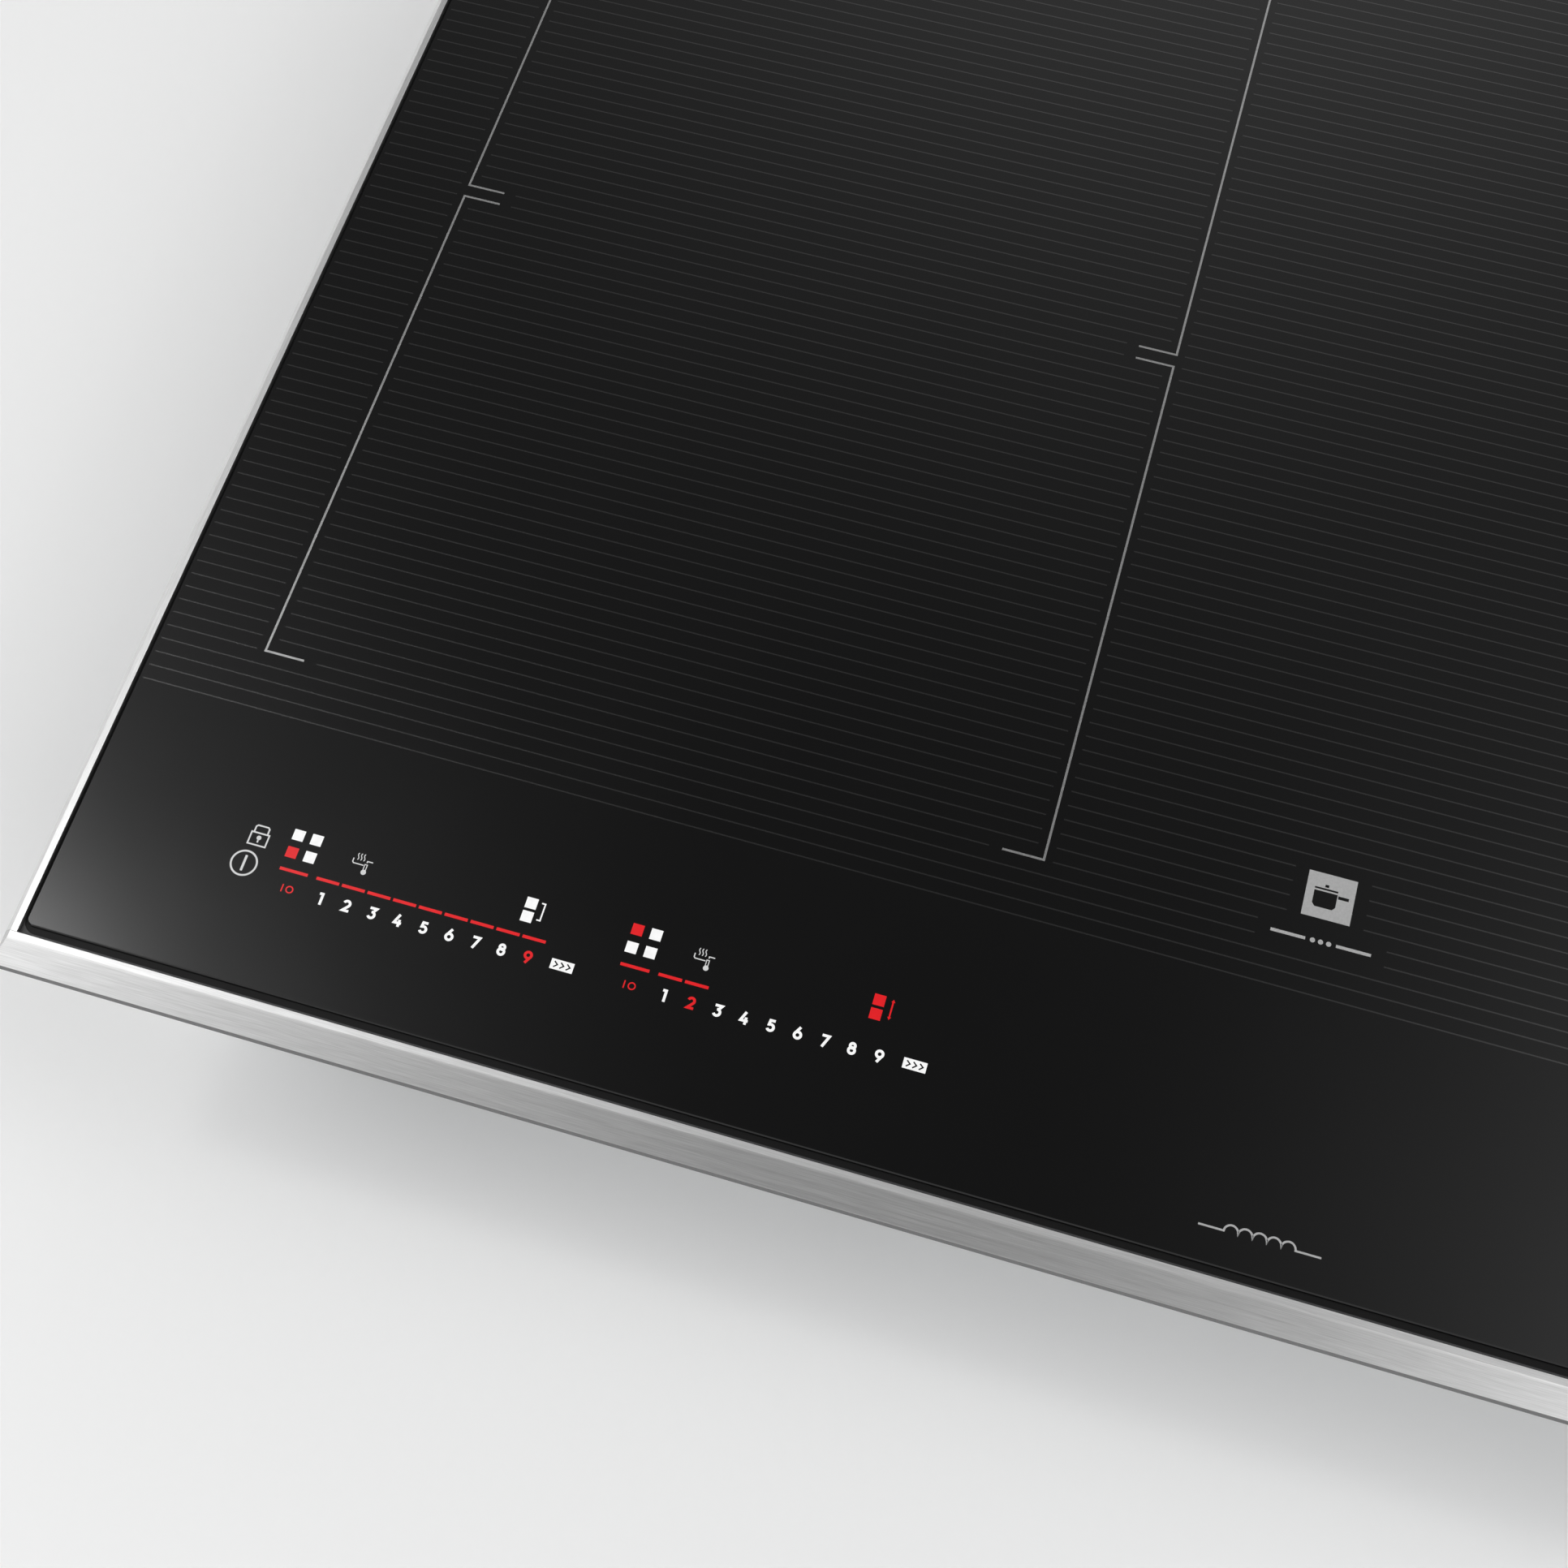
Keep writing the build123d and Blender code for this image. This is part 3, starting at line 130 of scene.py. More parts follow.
BRIDGE_BRACE = ((16.31, -7.47), (16.54, -7.47), (16.54, -8.58), (16.31, -8.58))
BRACE_WIDTH = 0.09
ARROW_U = 16.53
ARROW_ENDS = (-7.55, -8.5)
ARROW_WIDTH = 0.1
ARROW_HEAD = (0.12, 0.18)
BOOST_BOX = (1.44, 0.66)
BOOST_PLACE = (18.77, -10.96)
CHEVRONS = (-0.4, 0.0, 0.4)
CHEVRON_HALF = (0.11, 0.19)
CHEVRON_WIDTH = 0.09

# The keys beyond the outer scales: a square one over a round one on each side.
END_KEYS_U = 64.59
SQUARE_KEY_V = -8.41
ROUND_KEY_V = -10.12
ROUND_KEY_SHIFT = 0.28
ROUND_KEY_R = 0.81
ROUND_KEY_WIDTH = 0.12


# The steel's skirt ends this high, and below it the steel is darkened as painted shade; an inverter's
# transistors stand this close to its middle.
SKIRT_TOP = 5.2 * MM
TRANSISTOR_REACH = 40 * MM
# Where the second and the third row of parts start, as shares of a board's rows.
COMPONENT_ROWS = {
    "inverter_parts_left": (0.15, 0.81),
    "inverter_parts_right": (0.15, 0.81),
    "filter_parts": (0.14, 0.58),
}
CAN_BLACK = (0.018, 0.02, 0.03)
FILM_YELLOW = (0.62, 0.44, 0.08)
CHOKE_GREEN = (0.03, 0.085, 0.05)

FLOOR_SIZE = 30.0
# Two opposite corners of each softbox's plan, its height, and its radiance.
SOFTBOXES = {
    "softbox_left": ((-2.7, -1.7), (-1.2, 0.1), 1.5, 2.8),
    "softbox_right": ((0.45, -1.2), (1.2, -0.6), 0.9, 4.6),
}
HORIZON_LIGHT = 1.4
CEILING_LIGHT = 0.11
CEILING_START = 0.5
# The direction, tightness and radiance of each soft glow overhead.
GLOWS = (
    ((-0.5, 0.17, 1), 700, 20),
    ((-0.75, 0, 1), 25, 2.7),
    ((0.75, 0.25, 1), 25, 2.5),
    ((0, 1.7, 1), 16, 0.8),
)
CAMERA_LENS = 49.72
CAMERA_SENSOR = 36.0
CAMERA_PLACE = (-0.0960, -0.4122, 0.6352)
CAMERA_FORWARD = (-0.11206, 0.38732, -0.91511)
CAMERA_RIGHT = (0.95968, 0.28108, 0.00146)


# ---------------------------------------------------------------- materials


class Look:
    """A material under construction: a Principled shader fed by object-space patterns."""

    def __init__(self, name, colour, roughness, metallic=0.0, **constants):
        self.material = bpy.data.materials.new(name)
        self.material.use_nodes = True
        self.nodes = self.material.node_tree.nodes
        self.links = self.material.node_tree.links
        self.shader = self.nodes["Principled BSDF"]
        self.place = self.nodes.new("ShaderNodeTexCoord").outputs["Object"]
        self.shader.inputs["Base Color"].default_value = (*colour, 1)
        self.shader.inputs["Roughness"].default_value = roughness
        self.shader.inputs["Metallic"].default_value = metallic
        for socket, value in constants.items():
            self.shader.inputs[socket.replace("_", " ")].default_value = value

    def scaled(self, scale, turn=(0, 0, 0)):
        """Object coordinates stretched by a scale in repeats per metre."""
        node = self.nodes.new("ShaderNodeMapping")
        node.inputs["Scale"].default_value = scale
        node.inputs["Rotation"].default_value = turn
        self.links.new(self.place, node.inputs["Vector"])
        return node.outputs["Vector"]

    def noise(self, scale, detail=3.0):
        node = self.nodes.new("ShaderNodeTexNoise")
        node.inputs["Scale"].default_value = 1.0
        node.inputs["Detail"].default_value = detail
        self.links.new(self.scaled(scale), node.inputs["Vector"])
        return node.outputs["Fac"]

    def cells(self, scale, feature="F1", output="Distance", randomness=1.0):
        node = self.nodes.new("ShaderNodeTexVoronoi")
        node.feature = feature
        node.inputs["Scale"].default_value = 1.0
        node.inputs["Randomness"].default_value = randomness
        self.links.new(self.scaled(scale), node.inputs["Vector"])
        return node.outputs[output]

    def waves(self, scale, turn=(0, 0, 0), distortion=0.0):
        node = self.nodes.new("ShaderNodeTexWave")
        node.wave_type = "BANDS"
        node.inputs["Scale"].default_value = 1.0
        node.inputs["Distortion"].default_value = distortion
        self.links.new(self.scaled(scale, turn), node.inputs["Vector"])
        return node.outputs["Fac"]

    def blend(self, factor, low, high, socket="Base Color", span=(0.0, 1.0)):
        """Feeds a socket with a ramp between two colours or two numbers."""
        ramp = self.nodes.new("ShaderNodeValToRGB")
        for element, position, value in zip(ramp.color_ramp.elements, span, (low, high)):
            element.position = position
            element.color = (*value, 1) if isinstance(value, tuple) else (value, value, value, 1)
        self.links.new(factor, ramp.inputs["Fac"])
        self.links.new(ramp.outputs["Color"], self.shader.inputs[socket])
        return self

    def calculated(self, operation, first, second):
        """One step of arithmetic. The second term is another output or a plain number."""
        node = self.nodes.new("ShaderNodeMath")
        node.operation = operation
        self.links.new(first, node.inputs[0])
        if isinstance(second, float):
            node.inputs[1].default_value = second
        else:
            self.links.new(second, node.inputs[1])
        return node.outputs["Value"]

    def along(self, axis):
        """The place along the X, Y or Z axis, in metres."""
        split = self.nodes.new("ShaderNodeSeparateXYZ")
        self.links.new(self.place, split.inputs["Vector"])
        return split.outputs[axis]

    def climb(self, value, start, end, low=0.0, high=1.0):
        """A number that goes from low to high as a value goes from start to end."""
        node = self.nodes.new("ShaderNodeMapRange")
        for socket, number in zip(("From Min", "From Max", "To Min", "To Max"), (start, end, low, high)):
            node.inputs[socket].default_value = number
        self.links.new(value, node.inputs["Value"])
        return node.outputs["Result"]

    def darken(self, share):
        """Multiplies the base colour by a number that varies over the surface."""
        mix = self.nodes.new("ShaderNodeMix")
        mix.data_type = "RGBA"
        mix.blend_type = "MULTIPLY"
        mix.inputs["Factor"].default_value = 1.0
        before = self.shader.inputs["Base Color"].links[0].from_socket
        self.links.new(before, mix.inputs["A"])
        self.links.new(share, mix.inputs["B"])
        self.links.new(mix.outputs["Result"], self.shader.inputs["Base Color"])
        return self

    def rows(self, factor, colours, steps):
        """The base colour in plain stretches of a factor, with a new one at each step."""
        ramp = self.nodes.new("ShaderNodeValToRGB")
        ramp.color_ramp.interpolation = "CONSTANT"
        elements = ramp.color_ramp.elements
        for step in steps[:-1]:
            elements.new(step)
        elements[-1].position = steps[-1]
        for element, colour in zip(elements, colours):
            element.color = (*colour, 1)
        self.links.new(factor, ramp.inputs["Fac"])
        self.links.new(ramp.outputs["Color"], self.shader.inputs["Base Color"])
        return self

    def bump(self, height, strength, distance):
        node = self.nodes.new("ShaderNodeBump")
        node.inputs["Strength"].default_value = strength
        node.inputs["Distance"].default_value = distance
        self.links.new(height, node.inputs["Height"])
        before = self.shader.inputs["Normal"]
        if before.is_linked:
            self.links.new(before.links[0].from_socket, node.inputs["Normal"])
        self.links.new(node.outputs["Normal"], before)
        return self


def black_glass():
    """Polished glass ceramic: nearly black, with the faint haze of a wiped surface."""
    look = Look("black_glass", (0.0015, 0.0015, 0.0016), 0.14, IOR=1.52)
    look.blend(look.noise((9, 9, 9), detail=4), 0.13, 0.17, "Roughness", (0.35, 0.7))
    look.blend(look.noise((60, 60, 60)), (0.0012, 0.0012, 0.0013), (0.0018, 0.0018, 0.0019))
    return look.material


def black_silicone():
    look = Look("black_silicone", (0.003, 0.003, 0.003), 0.5, Specular_IOR_Level=0.2)
    look.blend(look.noise((260, 260, 260)), 0.44, 0.58, "Roughness")
    look.bump(look.noise((90, 90, 90)), 0.25, 0.2 * MM)
    return look.material


def frame_plastic():
    look = Look("frame_plastic", (0.045, 0.045, 0.047), 0.5, Specular_IOR_Level=0.4)
    look.blend(look.noise((700, 700, 700)), (0.036, 0.036, 0.037), (0.056, 0.056, 0.058))
    look.bump(look.noise((1500, 1500, 1500)), 0.25, 0.05 * MM)
    return look.material


def seal_foam():
    look = Look("seal_foam", (0.03, 0.03, 0.03), 0.92)
    # The foam is darker in its pits, where the bump is lowest: painted shade.
    look.blend(look.cells((900, 900, 900)), (0.014, 0.014, 0.014), (0.04, 0.04, 0.041), span=(0, 0.6))
    look.bump(look.cells((900, 900, 900)), 0.6, 0.3 * MM)
    return look.material


def brushed_steel(name, along, painted_slope_shade):
    """Stainless steel brushed along X (0) or Y (1), with painted shade on the slope below the top rim and
    on the skirt.
    """
    look = Look(name, (0.77, 0.77, 0.77), 0.4, metallic=1.0)
    fine = [4200, 4200, 4200]
    coarse = [900, 900, 900]
    fine[along] = 75
    coarse[along] = 12
    streaks = look.noise(tuple(fine), detail=3)
    look.blend(streaks, (0.62, 0.62, 0.62), (0.77, 0.77, 0.77), span=(0.3, 0.7))
    look.blend(look.noise(tuple(coarse), detail=3), 0.40, 0.44, "Roughness", (0.3, 0.7))
    height = look.along("Z")
    # Painted shade: below the flat top, all of the steel is cut to the given share, so the top rim stays
    # lighter.
    look.darken(look.climb(height, cad_high.z - 0.3 * MM, cad_high.z - 0.05 * MM, low=painted_slope_shade))
    # Painted shade: the skirt below SKIRT_TOP is darkened to a fifth of its colour.
    look.darken(look.climb(height, SKIRT_TOP - 0.3 * MM, SKIRT_TOP, low=0.2))
    look.bump(streaks, 0.3, 0.02 * MM)
    return look.material


def galvanised_steel():
    """Hot-dipped sheet: grey crystals a centimetre or so across, each with its own sheen."""
    look = Look("galvanised_steel", (0.52, 0.54, 0.55), 0.42, metallic=0.9)
    spangle = look.cells((85, 85, 85), output="Color")
    look.blend(spangle, (0.39, 0.405, 0.415), (0.52, 0.535, 0.545), span=(0.1, 0.9))
    look.blend(spangle, 0.36, 0.5, "Roughness", (0.1, 0.9))
    look.bump(look.noise((420, 420, 420)), 0.12, 0.05 * MM)
    return look.material


def zinc_steel():
    look = Look("zinc_steel", (0.6, 0.6, 0.62), 0.34, metallic=1.0)
    look.blend(look.noise((120, 120, 120)), (0.54, 0.56, 0.62), (0.74, 0.72, 0.66), span=(0.3, 0.7))
    look.blend(look.noise((500, 500, 500)), 0.28, 0.44, "Roughness")
    return look.material


def moulded(name, low, high, roughness):
    """Injection-moulded plastic with a fine spark-eroded texture."""
    look = Look(name, low, roughness)
    look.blend(look.noise((45, 45, 45)), low, high)
    look.blend(look.noise((900, 900, 900)), roughness - 0.06, roughness + 0.08, "Roughness")
    look.bump(look.noise((2600, 2600, 2600)), 0.3, 0.04 * MM)
    return look.material


def clear_plastic():
    look = Look("clear_plastic", (0.86, 0.87, 0.88), 0.16, IOR=1.49, Transmission_Weight=0.85)
    look.blend(look.noise((300, 300, 300)), 0.12, 0.24, "Roughness")
    return look.material


def circuit_board():
    """Green solder mask over copper tracks about 2.5 mm apart."""
    look = Look("circuit_board", (0.012, 0.11, 0.045), 0.32)
    tracks = look.cells((400, 400, 400), feature="DISTANCE_TO_EDGE", randomness=0.35)
    look.blend(tracks, (0.03, 0.22, 0.09), (0.008, 0.095, 0.038), span=(0.04, 0.12))
    look.bump(tracks, 0.2, 0.05 * MM)
    return look.material


def component_cases(node, steps):
    """Rows of parts along Y: black cans or relays, yellow film capacitors, and wound chokes.

    On an inverter the parts close to the middle are its transistors, which are black.
    """
    low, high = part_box(node)
    look = Look(f"{node}_cases", (0.2, 0.2, 0.2), 0.4)
    row = look.climb(look.along("Y"), low.y, high.y)
    look.rows(row, (CAN_BLACK, FILM_YELLOW, CHOKE_GREEN), steps)
    look.darken(look.climb(look.noise((240, 240, 240)), 0.3, 0.7, low=0.82))
    if node != "filter_parts":
        off_middle = look.calculated("SUBTRACT", look.along("X"), (low.x + high.x) / 2)
        off_middle = look.calculated("ABSOLUTE", off_middle, 0.0)
        look.darken(look.climb(off_middle, TRANSISTOR_REACH, TRANSISTOR_REACH + MM, low=0.04))
    look.blend(look.noise((400, 400, 400)), 0.3, 0.5, "Roughness")
    return look.material


def aluminium_sheet():
    look = Look("aluminium_sheet", (0.74, 0.745, 0.75), 0.36, metallic=1.0)
    rolled = look.noise((1400, 16, 1400), detail=2)
    look.blend(rolled, (0.66, 0.665, 0.67), (0.80, 0.80, 0.81), span=(0.3, 0.7))
    look.blend(look.noise((30, 30, 30)), 0.3, 0.42, "Roughness")
    look.bump(rolled, 0.2, 0.02 * MM)
    return look.material


def ferrite():
    look = Look("ferrite", (0.045, 0.045, 0.05), 0.6, metallic=0.3)
    look.blend(look.noise((600, 600, 600)), (0.03, 0.03, 0.034), (0.065, 0.065, 0.07))
    look.bump(look.noise((1600, 1600, 1600)), 0.5, 0.1 * MM)
    return look.material


def mica():
    look = Look("mica", (0.7, 0.6, 0.43), 0.45)
    flakes = look.cells((320, 320, 320), output="Color")
    look.blend(flakes, (0.58, 0.48, 0.32), (0.78, 0.70, 0.54))
    look.blend(flakes, 0.3, 0.6, "Roughness")
    return look.material


def litz_copper():
    """Enamelled litz: fine diagonal strands on each turn."""
    look = Look("litz_copper", (0.72, 0.33, 0.16), 0.34, metallic=0.9)
    strands = look.waves((900, 900, 400), turn=(0, 0, 0.6), distortion=2.0)
    # The copper is darker between the strands, where the bump is lowest: painted shade.
    look.blend(strands, (0.50, 0.19, 0.08), (0.86, 0.46, 0.25))
    look.bump(strands, 0.5, 0.12 * MM)
    return look.material


def lead_sleeve():
    look = Look("lead_sleeve", (0.75, 0.74, 0.7), 0.85)
    strands = [look.waves((700, 700, 700), turn=turn) for turn in ((0, 0.8, 0), (0.8, 0, 0))]
    weave = look.calculated("MULTIPLY", *strands)
    # The sleeve is darker in the hollows of the weave, where the bump is lowest: painted shade.
    look.blend(weave, (0.52, 0.5, 0.45), (0.84, 0.83, 0.79))
    look.bump(weave, 0.6, 0.2 * MM)
    return look.material


def ribbon_grey():
    """Flat ribbon: ridged across its width, one ridge for each conductor."""
    look = Look("ribbon_grey", (0.45, 0.45, 0.46), 0.5)
    ridges = look.waves((125, 0, 0))
    # The colour is darker in the grooves between ridges, where the bump is lowest: painted shade.
    look.blend(ridges, (0.28, 0.28, 0.29), (0.52, 0.52, 0.53))
    look.bump(ridges, 0.7, 0.3 * MM)
    return look.material


def printed_ink(name, low, high):
    """Fired enamel print, slightly uneven as a screen lays it down."""
    look = Look(name, low, 0.5)
    look.blend(look.noise((1800, 1800, 1800), detail=2), low, high, span=(0.3, 0.7))
    return look.material


def silver_ink():
    """Metallic print: it picks up the room's light as steel does."""
    look = Look("bracket_ink", (0.5, 0.5, 0.5), 0.35, metallic=1.0)
    specks = look.noise((1800, 1800, 1800), detail=2)
    look.blend(specks, (0.45, 0.45, 0.45), (0.56, 0.56, 0.56), span=(0.3, 0.7))
    return look.material


def pattern_ink():
    """Clear glossy enamel, a little more reflective than the glass that it lies on."""
    look = Look("pattern_ink", (0.002, 0.002, 0.002), 0.2, IOR=1.95)
    look.blend(look.noise((1800, 1800, 1800), detail=2), 0.18, 0.24, "Roughness")
    return look.material


def lit(name, colour):
    """A lamp behind the glass: it glows evenly, with a trace of unevenness in the glass."""
    look = Look(name, tuple(0.04 * part for part in colour), 0.3, Emission_Strength=1.0)
    dimmer = tuple(0.93 * part for part in colour)
    look.blend(look.noise((500, 500, 500)), dimmer, colour, "Emission Color", (0.3, 0.6))
    return look.material


def dress_frame():
    """Gives every CAD node the material of its slot."""
    made = {
        "black_glass": black_glass(),
        "black_silicone": black_silicone(),
        "frame_plastic": frame_plastic(),
        "seal_foam": seal_foam(),
        "galvanised_steel": galvanised_steel(),
        "zinc_steel": zinc_steel(),
        "black_plastic": moulded("black_plastic", (0.016, 0.016, 0.017), (0.024, 0.024, 0.025), 0.48),
        "white_plastic": moulded("white_plastic", (0.72, 0.71, 0.67), (0.8, 0.79, 0.75), 0.42),
        "clear_plastic": clear_plastic(),
        "circuit_board": circuit_board(),
        "aluminium_sheet": aluminium_sheet(),
        "ferrite": ferrite(),
        "mica": mica(),
        "copper": litz_copper(),
        "lead_sleeve": lead_sleeve(),
        "ribbon_grey": ribbon_grey(),
    }
    # The front and rear trims get painted shade on their slope; the side trims get none.
    steel_x = brushed_steel("brushed_steel_x", 0, 0.83)
    steel_y = brushed_steel("brushed_steel_y", 1, 1.0)
    own = {"trim_front": steel_x, "trim_rear": steel_x, "trim_left": steel_y, "trim_right": steel_y}
    for node, steps in COMPONENT_ROWS.items():
        own[node] = component_cases(node, steps)
    for entry in frame["record"]["subparts"]:
        node = entry["node"]
        materials = frame["nodes"][node].data.materials
        materials.clear()
        materials.append(own[node] if node in own else made[entry["material_slot"]])


def make_springs():
    """Copies of the frame's springs, which stand in place of the hidden originals."""
    for row in ROWS:
        for side in SIDES:
            node = f"coil_springs_{row}_{side}"
            springs = bpy.data.objects.new(f"sprung_{node}", frame["nodes"][node].data.copy())
            bpy.context.scene.collection.objects.link(springs)
            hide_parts(node)
            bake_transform(springs)


# ---------------------------------------------------------------- shapes printed on the glass


def arc(centre, radius, start, end, steps=20):
    """Points on an arc, its angles in degrees."""
    x, y = centre
    turns = [math.radians(start + (end - start) * i / steps) for i in range(steps + 1)]
    return [(x + radius * math.cos(t), y + radius * math.sin(t)) for t in turns]


def ring(centre, radius, steps=48):
    return arc(centre, radius, 0, 360 - 360 / steps, steps - 1)


def rectangle(low, high):
    return [low, (high[0], low[1]), high, (low[0], high[1])]


def wave_line(x, low, high, reach, steps=16):
    """An upright S-shaped line."""
    return [
        (x + reach * math.sin(2 * math.pi * i / steps), low + (high - low) * i / steps)
        for i in range(steps + 1)
    ]


class Print:
    """Thin closed solids on the glass, gathered in one mesh. Places are in pitches.

    A glyph is the same thing away from the glass: one unit thick, for joining and cutting.
    """

    def __init__(self, glyph=False):
        self.mesh = bmesh.new()
        self.glyph = glyph
        self.offset = (0.0, 0.0)
        self.scale = 1.0

    def at(self, u, v, scale=1.0):
        self.offset = (u, v)
        self.scale = scale
        return self

    def place(self):
        """Carries a glyph to where this print now stands."""
        u, v = self.offset
        size = self.scale * PITCH
        foot = Vector((u * PITCH, FIRST_LINE_Y + v * PITCH, glass_high.z - PRINT_SUNK))
        return Matrix.Translation(foot) @ Matrix.Diagonal((size, size, PRINT_TOP + PRINT_SUNK, 1))

    def corner(self, point, top):
        local = Vector((*point, float(top)))
        return self.mesh.verts.new(local if self.glyph else self.place() @ local)

    def fill(self, outline):
        """A filled shape with straight sides between its corners, given anticlockwise."""
        low = [self.corner(point, False) for point in outline]
        high = [self.corner(point, True) for point in outline]
        self.mesh.faces.new(high)
        self.mesh.faces.new(low[::-1])
        for i, j in zip(range(len(outline)), [*range(1, len(outline)), 0]):
            self.mesh.faces.new((low[i], low[j], high[j], high[i]))
        return self

    def stroke(self, points, width, closed=False):
        """A line of even width through the points, mitred at its corners."""
        rows = [self.cross_section(points, i, width / 2, closed) for i in range(len(points))]
        rings = [[self.corner(left, False), self.corner(right, False),
                  self.corner(right, True), self.corner(left, True)] for left, right in rows]
        pairs = list(zip(rings, rings[1:]))
        if closed:
            pairs.append((rings[-1], rings[0]))
        else:
            self.mesh.faces.new(rings[0])
            self.mesh.faces.new(rings[-1][::-1])
        for near, far in pairs:
            for i in range(4):
                j = (i + 1) % 4
                self.mesh.faces.new((near[i], far[i], far[j], near[j]))
        return self

    @staticmethod
    def cross_section(points, index, half, closed):
        count = len(points)
        here = Vector(points[index])
        before = Vector(points[(index - 1) % count]) if closed or index > 0 else None
        after = Vector(points[(index + 1) % count]) if closed or index < count - 1 else None
        incoming = (here - before).normalized() if before is not None else None
        outgoing = (after - here).normalized() if after is not None else None
        incoming = incoming if incoming is not None else outgoing
        outgoing = outgoing if outgoing is not None else incoming
        across = Vector((-incoming.y, incoming.x)) + Vector((-outgoing.y, outgoing.x))
        across.normalize()
        reach = half / max(across.dot(Vector((-incoming.y, incoming.x))), MITRE_LIMIT)
        return here + across * reach, here - across * reach

    def join(self, other):
        """Adds a finished glyph's mesh where this print now stands."""
        copied = other.copy()
        copied.transform(self.place())
        self.mesh.from_mesh(copied)
        bpy.data.meshes.remove(copied)
        return self

    def made(self, name):
        """The finished mesh as an object."""
        bmesh.ops.recalc_face_normals(self.mesh, faces=self.mesh.faces)
        data = bpy.data.meshes.new(name)
        self.mesh.to_mesh(data)
        self.mesh.free()
        piece = bpy.data.objects.new(name, data)
        bpy.context.scene.collection.objects.link(piece)
        return piece

    def finish(self, name, material, slot):
        piece = self.made(name)
        piece.data.materials.append(material)
        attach(piece, "root")
        return piece


def combined(glyphs, operation):
    """One clean mesh: the first glyph with the others joined (UNION) or cut out (DIFFERENCE)."""
    solids = [glyph.made("glyph") for glyph in glyphs]
    whole = solids[0]
    for other in solids[1:]:
        modifier = whole.modifiers.new(operation, "BOOLEAN")
        modifier.operation = operation
        modifier.solver = "EXACT"
        modifier.object = other
    bpy.context.view_layer.update()
    data = bpy.data.meshes.new_from_object(whole.evaluated_get(bpy.context.evaluated_depsgraph_get()))
    for solid in solids:
        bpy.data.objects.remove(solid)
    return data


def line_gaps(row):
    """Stretches of the centreline coordinate that the pattern leaves free on a row."""
    gaps = []
    for first, last in ZONE_ROWS:
        if first <= row <= last:
            foot = BRACKET_FOOT + FOOT_GAP if row in (first, last) else BRACKET_GAP
            for sign in SIDES.values():
                middle = sign * ZONE_MIDDLE
                gaps.append((middle - ZONE_HALF - BRACKET_GAP, middle - ZONE_HALF + foot))
                gaps.append((middle + ZONE_HALF - foot, middle + ZONE_HALF + BRACKET_GAP))
    gaps += [(-half, half) for rows, half in EMBLEM_ROOMS if row in rows]
    return sorted(gaps)


def print_pattern(ink):
    pattern = Print()
    for row in range(LINES):
        start = -LINE_HALF
        for low, high in [*line_gaps(row), (LINE_HALF, LINE_HALF)]:
            if low > start:
                pattern.stroke([(start, row), (low, row)], LINE_WIDTH)
            start = max(start, high)
    pattern.finish("pattern_lines", ink, "pattern_print")


def print_brackets(ink):
    """A pair of square brackets holds each zone."""
    brackets = Print()
    for sign in SIDES.values():
        for first, last in ZONE_ROWS:
            for way in (-1, 1):
                edge = sign * ZONE_MIDDLE + way * ZONE_HALF
                foot = edge - way * BRACKET_FOOT
                brackets.stroke([(foot, first), (edge, first), (edge, last), (foot, last)], BRACKET_WIDTH)
    brackets.finish("zone_brackets", ink, "zone_print")


def print_emblem(ink):
    """A plain plaque with a saucepan cut out of it, over a rule with three dots."""
    pan = [(-0.33, 0.1), (-0.33, -0.19), (-0.27, -0.26), (0.09, -0.26), (0.15, -0.19), (0.15, 0.1)]
    handle = rectangle((0.17, 0.01), (0.39, 0.08))
    lid = rectangle((-0.33, 0.135), (0.15, 0.175))
    knob = rectangle((-0.13, 0.2), (-0.05, 0.26))
    plaque = Print(glyph=True).fill(rectangle((-0.5, -0.5), (0.5, 0.5)))
    cuts = [Print(glyph=True).fill(shape) for shape in (pan, handle, lid, knob)]
    emblem = Print().at(0, EMBLEM_LOW + EMBLEM_HALF, 2 * EMBLEM_HALF)
    emblem.join(combined([plaque, *cuts], "DIFFERENCE"))
    emblem.at(0, EMBLEM_LOW - RULE_DROP)
    for low, high in ((-RULE_HALF, -RULE_GAP), (RULE_GAP, RULE_HALF)):
        emblem.fill(rectangle((low, -RULE_WIDTH / 2), (high, RULE_WIDTH / 2)))
    for u in (-DOT_PITCH, 0, DOT_PITCH):
        emblem.fill(ring((u, 0), DOT_R, 20))
    emblem.finish("emblem_print", ink, "zone_print")


def print_coil_symbol(ink):
    """The drawing symbol of a coil, between two lengths of lead, near the front edge."""
    points = [(-COIL_HALF, COIL_V)]
    for loop in range(COIL_LOOPS):
        middle = (2 * loop - COIL_LOOPS + 1) * COIL_LOOP_R
        points += arc((middle, COIL_V), COIL_LOOP_R, 180, 0, 12)[(0 if loop == 0 else 1):]
    points.append((COIL_HALF, COIL_V))
    symbol = Print().stroke(points, COIL_WIDTH)
    symbol.finish("coil_symbol_print", ink, "zone_print")


# ---------------------------------------------------------------- touch controls


